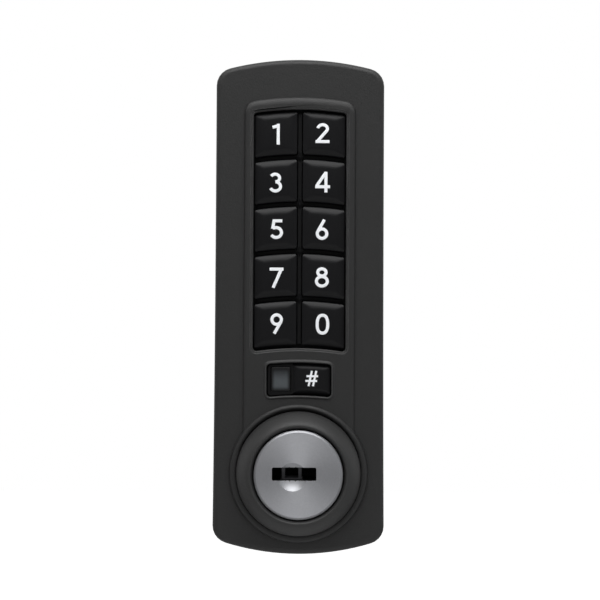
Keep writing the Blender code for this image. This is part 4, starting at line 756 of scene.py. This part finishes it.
# %% Make the ten number caps
FLANGE_LIP, CAP_OVERHANG, CAP_CORNER = 0.0005, 0.00024, 0.0008
KEY_SLOPE = (0.0024, 0.0019, 0.0005, 0.00076, 0.00014)
LOW_SKIRT = {"key_9": 0.00055, "key_0": 0.00055}
rims = {}
for node in [f"key_{digit}" for digit in range(10)]:
    low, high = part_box(node)
    left, right = low.x + FLANGE_LIP, high.x - FLANGE_LIP
    inner, outer = min(abs(left), abs(right)), max(abs(left), abs(right))
    top = high.z - FLANGE_LIP + arch_drop(inner)
    if node in ("key_1", "key_2"):
        top += CAP_OVERHANG
    bottom = low.z + FLANGE_LIP - CAP_OVERHANG + arch_drop(outer)
    if right < 0:
        left -= CAP_OVERHANG
    else:
        right += CAP_OVERHANG
    skirt = LOW_SKIRT.get(node, 0.0)
    rims[node] = ((left, right, top, bottom - skirt), (low.y, *KEY_SLOPE))
    key_cap(f"{node}_cap", node, *rims[node], CAP_CORNER, high.y, skirt)
print(len(rims), "caps, each", round((right - left) * 1000, 2), "mm wide")

# %% [markdown]
# ## The hash key
# The small key below the pad is made the same way, with narrower slopes and a flatter face. It
# stands a little further forward than its solid, level with the bead round its window.

# %% Make the hash cap
HASH_PROUD, HASH_GAP, HASH_TOP_GAP, HASH_CORNER = 0.00035, 0.0003, 0.0001, 0.0003
HASH_SLOPE = (0.0016, 0.0016, 0.0004, 0.0009, 0.00006)
low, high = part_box("hash_key")
left, right = low.x - HASH_GAP, high.x - FLANGE_LIP - HASH_GAP
top = high.z - FLANGE_LIP - HASH_TOP_GAP
bottom = low.z + FLANGE_LIP + HASH_GAP + arch_drop(max(abs(left), abs(right)))
rims["hash_key"] = ((left, right, top, bottom), (low.y - HASH_PROUD, *HASH_SLOPE))
key_cap("hash_cap", "hash_key", *rims["hash_key"], HASH_CORNER, high.y)
print("hash cap", [round(value * 1000, 2) for value in rims["hash_key"][0]])

# %% [markdown]
# ## Printed digits
# The digits are white ink, printed in bold strokes of one width. A font would be quick, but its
# strokes would be thinner and its shapes different, so each digit is drawn as a few strokes along a
# centreline. A curve with a round bevel gives a stroke its width. Once it is a mesh, its end caps
# are joined to it and its faces turned outwards while it is still round, and then it is pressed
# flat and wrapped onto the key's face. Pad printing never lands quite true, so each sign is a
# little off its key's middle.


# %% Points along an arc
def arc(centre, radii, start, end, steps=28, square=1.0):
    """Points on part of an ellipse, in mm and degrees. A square share below 1 fills it out."""
    points = []
    for step in range(steps + 1):
        turn = math.radians(start + (end - start) * step / steps)
        ways = (math.cos(turn), math.sin(turn))
        across, up = [math.copysign(abs(way) ** square, way) for way in ways]
        points.append((centre[0] + radii[0] * across, centre[1] + radii[1] * up))
    return points


print("a quarter turn ends at", [round(value, 2) for value in arc((0, 0), (1, 1), 0, 90)[-1]])

# %% The strokes of each sign
nine = [arc((-0.02, 0.92), (1.2, 1.2), 0, 360), [(1.06, 0.35), (-0.62, -2.62)]]
strokes = {
    "1": [[(0.3, -2.65), (0.3, 2.65)], [(0.5, 2.2), (-1.15, 1.72)]],
    "2": [arc((0.05, 1.15), (1.2, 1.0), 172, -32) + [(-1.3, -2.1)], [(-1.75, -2.12), (1.8, -2.12)]],
    "3": [arc((-0.12, 1.15), (1.1, 0.98), 152, -88), arc((-0.08, -0.98), (1.3, 1.16), 86, -156)],
    "4": [[(0.75, 2.3), (-1.5, -1.0)], [(-1.85, -1.2), (1.9, -1.2)], [(0.85, 2.6), (0.85, -2.65)]],
    "5": [[(-0.95, 2.12), (1.45, 2.12)], [(-0.62, 2.3), (-1.0, 0.1)],
          arc((-0.1, -0.85), (1.35, 1.26), 128, -150)],
    "6": [[(-x, -z) for x, z in stroke] for stroke in nine],
    "7": [[(-1.75, 2.12), (1.75, 2.12)], [(1.28, 2.3), (-0.85, -2.6)]],
    "8": [arc((0, 1.28), (1.05, 0.9), 0, 360), arc((0, -0.98), (1.38, 1.2), 0, 360)],
    "9": nine,
    "0": [arc((0, 0), (1.34, 2.25), 0, 360, 48, 0.84)],
    "hash": [[(-0.82, -1.95), (0.02, 1.95)], [(0.3, -1.95), (1.14, 1.95)],
             [(-1.36, 0.58), (1.6, 0.58)], [(-1.62, -0.62), (1.34, -0.62)]],
}
off_centre = {
    "1": (0.08, 0), "2": (-0.3, 0.3), "3": (-0.2, -0.3), "4": (-0.2, -0.1), "5": (0.08, -0.15),
    "6": (-0.3, -0.3), "7": (0.15, -0.4), "8": (-0.25, -0.33), "9": (0.25, 0), "0": (-0.05, -0.18),
    "hash": (-0.66, 0.42),
}
print(sum(len(lines) for lines in strokes.values()), "strokes")

# %% Draw a stroke
STROKE_PART = 0.25


def stroke_mesh(points, width):
    """One stroke as a round tube, its long lines split so that they can follow a face."""
    closed = math.dist(points[0], points[-1]) < 0.01
    fine = []
    for first, last in zip(points, points[1:]):
        parts = max(1, round(math.dist(first, last) / STROKE_PART))
        fine += [Vector(first).lerp(Vector(last), part / parts) for part in range(parts)]
    points = fine if closed else fine + [Vector(points[-1])]
    curve = bpy.data.curves.new("stroke", "CURVE")
    curve.dimensions = "2D"
    curve.fill_mode = "NONE"
    curve.bevel_depth = width / 2
    curve.bevel_resolution = 3
    curve.use_fill_caps = True
    spline = curve.splines.new("POLY")
    spline.points.add(len(points) - 1)
    for point, (x, z) in zip(spline.points, points):
        point.co = (x, z, 0, 1)
    spline.use_cyclic_u = closed
    helper = bpy.data.objects.new("stroke", curve)
    scene.collection.objects.link(helper)
    bpy.context.view_layer.update()
    graph = bpy.context.evaluated_depsgraph_get()
    mesh = bpy.data.meshes.new_from_object(helper.evaluated_get(graph))
    bpy.data.curves.remove(curve)
    return mesh


print("strokes are split every", STROKE_PART, "mm")

# %% Press and place the signs
STROKE_WIDTH, HASH_WIDTH, INK, STROKE_MERGE = 0.78, 0.52, 0.00004, 0.001


def sign(figure, node, width):
    """A printed sign on a key: its strokes, in millimetres, wrapped onto the key's face."""
    bm = bmesh.new()
    for points in strokes[figure]:
        mesh = stroke_mesh(points, width)
        bm.from_mesh(mesh)
        bpy.data.meshes.remove(mesh)
    bmesh.ops.remove_doubles(bm, verts=bm.verts, dist=STROKE_MERGE)
    bmesh.ops.recalc_face_normals(bm, faces=bm.faces)
    low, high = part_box(node)
    middle, shift = (low + high) / 2, off_centre[figure]
    for vert in bm.verts:
        x = middle.x + (vert.co.x + shift[0]) * 0.001
        z = middle.z + (vert.co.y + shift[1]) * 0.001
        raised = vert.co.z / (width / 2) * INK
        vert.co = (x, face_depth(x, z, *rims[node]) - raised, z)
    stand_in(f"sign_{figure}", bm, node, digit_white, 60)


for node in sorted(rims):
    if node == "hash_key":
        sign("hash", node, HASH_WIDTH)
    else:
        sign(node[-1], node, STROKE_WIDTH)
print(len(rims), "signs printed")

# %% [markdown]
# ## The rib between the keys
# The insert has a rib down the middle. Where four keys meet, it carries a small four-sided point. A
# cone with four sides, turned so that its corners point up and down and pressed low, is that shape.

# %% Points on the rib
POINT_FOOT, POINT_TIP, POINT_HEIGHT, POINT_RISE = 0.0011, 0.0002, 0.0008, 0.0002
POINT_SHAPE = (0.8, 1.7, 1)
KEY_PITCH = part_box("key_1")[0].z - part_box("key_3")[0].z
first_level = (rims["key_1"][0][3] + rims["key_3"][0][2]) / 2
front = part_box("keypad_frame")[0].y - POINT_RISE
upright = Matrix.Rotation(math.radians(90), 4, "X")
bm = bmesh.new()
for row in range(4):
    made = bmesh.ops.create_cone(bm, cap_ends=True, segments=4, radius1=POINT_FOOT,
                                 radius2=POINT_TIP, depth=POINT_HEIGHT)["verts"]
    bmesh.ops.scale(bm, vec=POINT_SHAPE, verts=made)
    spot = Matrix.Translation((0, front, first_level - row * KEY_PITCH))
    bmesh.ops.transform(bm, matrix=spot @ upright, verts=made)
stand_in("rib_points", bm, "keypad_frame", black_moulding, 20)
print("rib points at a pitch of", round(KEY_PITCH * 1000, 2), "mm")

# %% [markdown]
# ## The knob
# The knob is turned metal under paint: a straight foot in the collar, a tapered wall, a round crown
# and a soft lip into the bore, with the sleeve that carries it through the case behind. A profile
# spun about the axis makes it in one go. The profile has few points, and a subdivision surface
# rounds it as a polishing wheel would.

# %% Spin the knob
KNOB_HEIGHT = 0.0081
radius = (knob_high.x - knob_low.x) / 2
back_end, base = knob_high.y, knob_low.y + KNOB_HEIGHT
bore, sleeve, sleeve_bore, foot = 0.0114, 0.0126, 0.0106, 0.0157
outline = [
    (sleeve, 0.0), (foot - 0.0004, 0.0), (foot - 0.00005, 0.0001), (foot, 0.0003), (foot, 0.0013),
    (foot, 0.0025), (foot * 0.998, 0.0032), (foot * 0.99, 0.0038), (foot * 0.974, 0.0045),
    (foot * 0.95, 0.0052), (foot * 0.921, 0.0059), (foot * 0.895, 0.0065), (radius * 0.854, 0.0072),
    (radius * 0.82, 0.00775), (radius * 0.785, KNOB_HEIGHT), (radius * 0.763, 0.00805),
    (radius * 0.748, 0.0076), (bore + 0.0001, 0.0069), (bore, 0.006), (bore, 0.005), (bore, 0.002),
    (sleeve_bore, 0.002),
]
profile = [(sleeve_bore, back_end), (sleeve, back_end), (sleeve, back_end - 0.001),
           (sleeve, base + 0.0006)]
profile += [(out, base - forward) for out, forward in outline]
bm = bmesh.new()
verts = [bm.verts.new((out, depth, 0)) for out, depth in profile]
edges = [bm.edges.new(pair) for pair in zip(verts, verts[1:] + verts[:1])]
bmesh.ops.spin(bm, geom=verts + edges, cent=(0, 0, 0), axis=(0, 1, 0), angle=2 * math.pi,
               steps=96, use_merge=True)
bmesh.ops.translate(bm, vec=(0, 0, KNOB_Z), verts=bm.verts)
bmesh.ops.recalc_face_normals(bm, faces=bm.faces)
knob = stand_in("knob_shell", bm, "knob_ring", knob_paint, 60)
smoothing = knob.modifiers.new("polish", "SUBSURF")
smoothing.levels = smoothing.render_levels = 1
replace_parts(knob, "knob_ring")
print(f"knob {foot * 2000:.1f} mm wide, {KNOB_HEIGHT * 1000:.1f} mm proud")

# %% [markdown]
# ## Threads
# The barrel and the upper bolt are threaded from the door to their nuts. A bump texture would give
# no teeth on the outline, so the thread is real: one tooth, a small triangle with its tip cut off,
# is spun about the axis while it moves along it. The solid below it is slimmed to the root of the
# thread first. On the barrel, two planes then cut the flats.


# %% Spin a thread
def thread(bm, centre_z, outer, depth, pitch, start, end, steps):
    """Adds a helical tooth along Y."""
    root, foot, tip = outer - depth * 1.15, pitch * 0.5, pitch * 0.08
    tooth = [(root, -foot), (outer, -tip), (outer, tip), (root, foot)]
    verts = [bm.verts.new((out, start + pitch / 2 + y, centre_z)) for out, y in tooth]
    edges = [bm.edges.new(pair) for pair in zip(verts, verts[1:] + verts[:1])]
    count = int((end - start - pitch) / pitch * steps)
    bmesh.ops.spin(bm, geom=verts + edges, cent=(0, 0, centre_z), axis=(0, 1, 0),
                   dvec=(0, pitch / steps, 0), angle=2 * math.pi * count / steps, steps=count)
    close_holes(bm)


print("threads can be spun")

# %% Thread the barrel
BARREL_OUTER, BARREL_FLAT, BARREL_START = 0.0095, 0.008, -0.0032
BARREL_DEPTH, BARREL_PITCH, THREAD_GAP, COLLAR = 0.0007, 0.0015, 0.0002, 0.001
root = BARREL_OUTER - BARREL_DEPTH
core = copy_of("barrel")
for vert in core.verts:
    if vert.co.y > BARREL_START and root < off_axis(vert.co) < BARREL_OUTER + COLLAR:
        rise = math.copysign(math.sqrt(root**2 - vert.co.x**2), vert.co.z - KNOB_Z)
        vert.co.z = KNOB_Z + rise
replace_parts(stand_in("barrel_core", core, "barrel", zinc_bright, 30, 0.0001), "barrel")
bm = bmesh.new()
thread_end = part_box("barrel")[1].y - THREAD_GAP
thread(bm, KNOB_Z, BARREL_OUTER, BARREL_DEPTH, BARREL_PITCH, THREAD_GAP, thread_end, steps=48)
for side in (-1, 1):
    parts = bm.verts[:] + bm.edges[:] + bm.faces[:]
    bmesh.ops.bisect_plane(bm, geom=parts, dist=0.0000001, plane_co=(side * BARREL_FLAT, 0, 0),
                           plane_no=(side, 0, 0), clear_outer=True)
    close_holes(bm)
bmesh.ops.recalc_face_normals(bm, faces=bm.faces)
item = stand_in("barrel_thread", bm, "barrel", zinc_bright, 30)
print("barrel thread", len(item.data.polygons), "faces")

# %% [markdown]
# The upper bolt gets the same treatment, with a finer pitch.

# %% Thread the upper bolt
BOLT_OUTER, BOLT_ROOT_SHARE, BOLT_END = 0.002, 0.82, 0.0192
BOLT_DEPTH, BOLT_PITCH, BOLT_PLAIN, BOLT_SLACK = 0.00036, 0.0007, 0.001, 0.00005
bolt_low, bolt_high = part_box("fixing_bolt")
BOLT_Z = (bolt_low.z + bolt_high.z) / 2
core = copy_of("fixing_bolt")
for vert in core.verts:
    rise = vert.co.z - BOLT_Z
    on_shank = abs(math.hypot(vert.co.x, rise) - BOLT_OUTER) < BOLT_SLACK
    if on_shank and vert.co.y < BOLT_END:
        vert.co.x *= BOLT_ROOT_SHARE
        vert.co.z = BOLT_Z + rise * BOLT_ROOT_SHARE
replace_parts(stand_in("bolt_core", core, "fixing_bolt", zinc_bright, 30, 0.0001), "fixing_bolt")
bm = bmesh.new()
start = bolt_low.y + BOLT_PLAIN
thread(bm, BOLT_Z, BOLT_OUTER, BOLT_DEPTH, BOLT_PITCH, start, BOLT_END, steps=24)
bmesh.ops.recalc_face_normals(bm, faces=bm.faces)
item = stand_in("bolt_thread", bm, "fixing_bolt", zinc_bright, 30)
print("bolt thread", len(item.data.polygons), "faces")

# %% [markdown]
# ## Floor, light and camera
# The picture is a catalogue view on white. The floor is pale and lies below the lock, and both it
# and the world are shown to the camera as white, though the floor still takes the lock's shadow.

# %% The floor
FLOOR_Z, FLOOR_HALF, FLOOR_BOOST = -0.2, 2.0, 0.75
scene.view_settings.view_transform = "Standard"
pale, tree, shader = new_material("pale_floor")
bm = bmesh.new()
bmesh.ops.create_grid(bm, x_segments=1, y_segments=1, size=FLOOR_HALF)
bmesh.ops.translate(bm, vec=(0, 0, FLOOR_Z), verts=bm.verts)
floor = new_object("floor", bm, pale)
ray = add_node(tree, "LightPath").outputs
boost = times(ray["Is Camera Ray"], FLOOR_BOOST)
feed(shader, {"Base Color": screen(246, 246, 246), "Roughness": 0.9,
              "Emission Color": (1, 1, 1, 1), "Emission Strength": boost})
print("floor at z =", FLOOR_Z)

# %% [markdown]
# The world has two strengths. The camera sees full white. A diffuse ray, which carries light onto
# the lock, gets a weaker grey, because the lamps give the rest. A glossy ray looks at where it is
# going: behind the lock is the white backdrop, and in front of it is the room, which is dark below
# and lighter above.

# %% The world
PLAIN_LIGHT, ROOM_LIGHT = 0.3, 0.2
BACKDROP_START, BACKDROP_GAIN, ROOM_START, ROOM_GAIN = 0.12, 4.0, 0.45, 0.35
world = bpy.data.worlds.new("studio")
scene.world = world
world.use_nodes = True
tree = world.node_tree
ray = add_node(tree, "LightPath").outputs
place = add_node(tree, "TexCoord").outputs["Generated"]
heading = add_node(tree, "SeparateXYZ", {0: place}).outputs
behind = times(plus(heading["Y"], BACKDROP_START), BACKDROP_GAIN, clamp=True)
above = times(plus(heading["Z"], ROOM_START), ROOM_GAIN, clamp=True)
mirror = calculate("MAXIMUM", behind, plus(above, ROOM_LIGHT))
seen_by = calculate("MAXIMUM", ray["Is Glossy Ray"], ray["Is Transmission Ray"])
plain = times(minus(1.0, seen_by), PLAIN_LIGHT)
mixed = plus(times(seen_by, mirror), plain)
strength = calculate("MAXIMUM", mixed, ray["Is Camera Ray"])
feed(tree.nodes["Background"], {"Color": (1, 1, 1, 1), "Strength": strength})
print("world lights the lock at", PLAIN_LIGHT)

# %% [markdown]
# Five soft boxes light the lock. The strongest hangs above, so the top edges shine and the front
# fades towards the bottom. A broad one in front gives the flat face its tone, a weak one below
# lifts the lower rims, and a pair at the sides gives the metal face its warm and cool halves.


# %% The lamps
def soft_box(name, place, width, depth, power, colour=(1, 1, 1), aim=(0, -0.02, 0)):
    """A rectangular lamp that looks at a point."""
    data = bpy.data.lights.new(name, "AREA")
    data.shape = "RECTANGLE"
    data.size, data.size_y = width, depth
    data.energy = power
    data.color = colour
    item = bpy.data.objects.new(name, data)
    item.location = place
    item.rotation_euler = (Vector(aim) - Vector(place)).to_track_quat("-Z", "Y").to_euler()
    scene.collection.objects.link(item)


WARM, COOL = (1.0, 0.92, 0.98), (0.92, 0.98, 1.0)
soft_box("top_box", (0, -0.18, 0.32), 0.4, 0.22, 1.5)
soft_box("front_box", (0, -0.75, 0.45), 0.7, 0.3, 0.36)
soft_box("low_box", (0, -0.3, -0.18), 0.4, 0.1, 0.09, aim=(0, -0.02, -0.05))
soft_box("left_box", (-0.55, -0.3, 0.1), 0.25, 0.5, 0.07, WARM)
soft_box("right_box", (0.55, -0.3, 0.1), 0.12, 0.5, 0.25, COOL)

# %% [markdown]
# The camera stands half a metre in front, a little below the lock's middle and above the knob, and
# looks up by one degree. The picture is turned by a third of a degree, as a hand-held one is.

# %% The camera
CAMERA_PLACE = (0.0009, -0.5397, -0.0084)
CAMERA_TURNS = ((0.08, "Z"), (91.11, "X"), (0.31, "Z"))
camera_data = bpy.data.cameras.new("camera")
camera_data.lens = 122.0
camera = bpy.data.objects.new("camera", camera_data)
stance = Matrix.Translation(CAMERA_PLACE)
for degrees, about in CAMERA_TURNS:
    stance = stance @ Matrix.Rotation(math.radians(degrees), 4, about)
camera.matrix_world = stance
scene.collection.objects.link(camera)
scene.camera = camera
print(f"lens {camera_data.lens:.1f} mm")
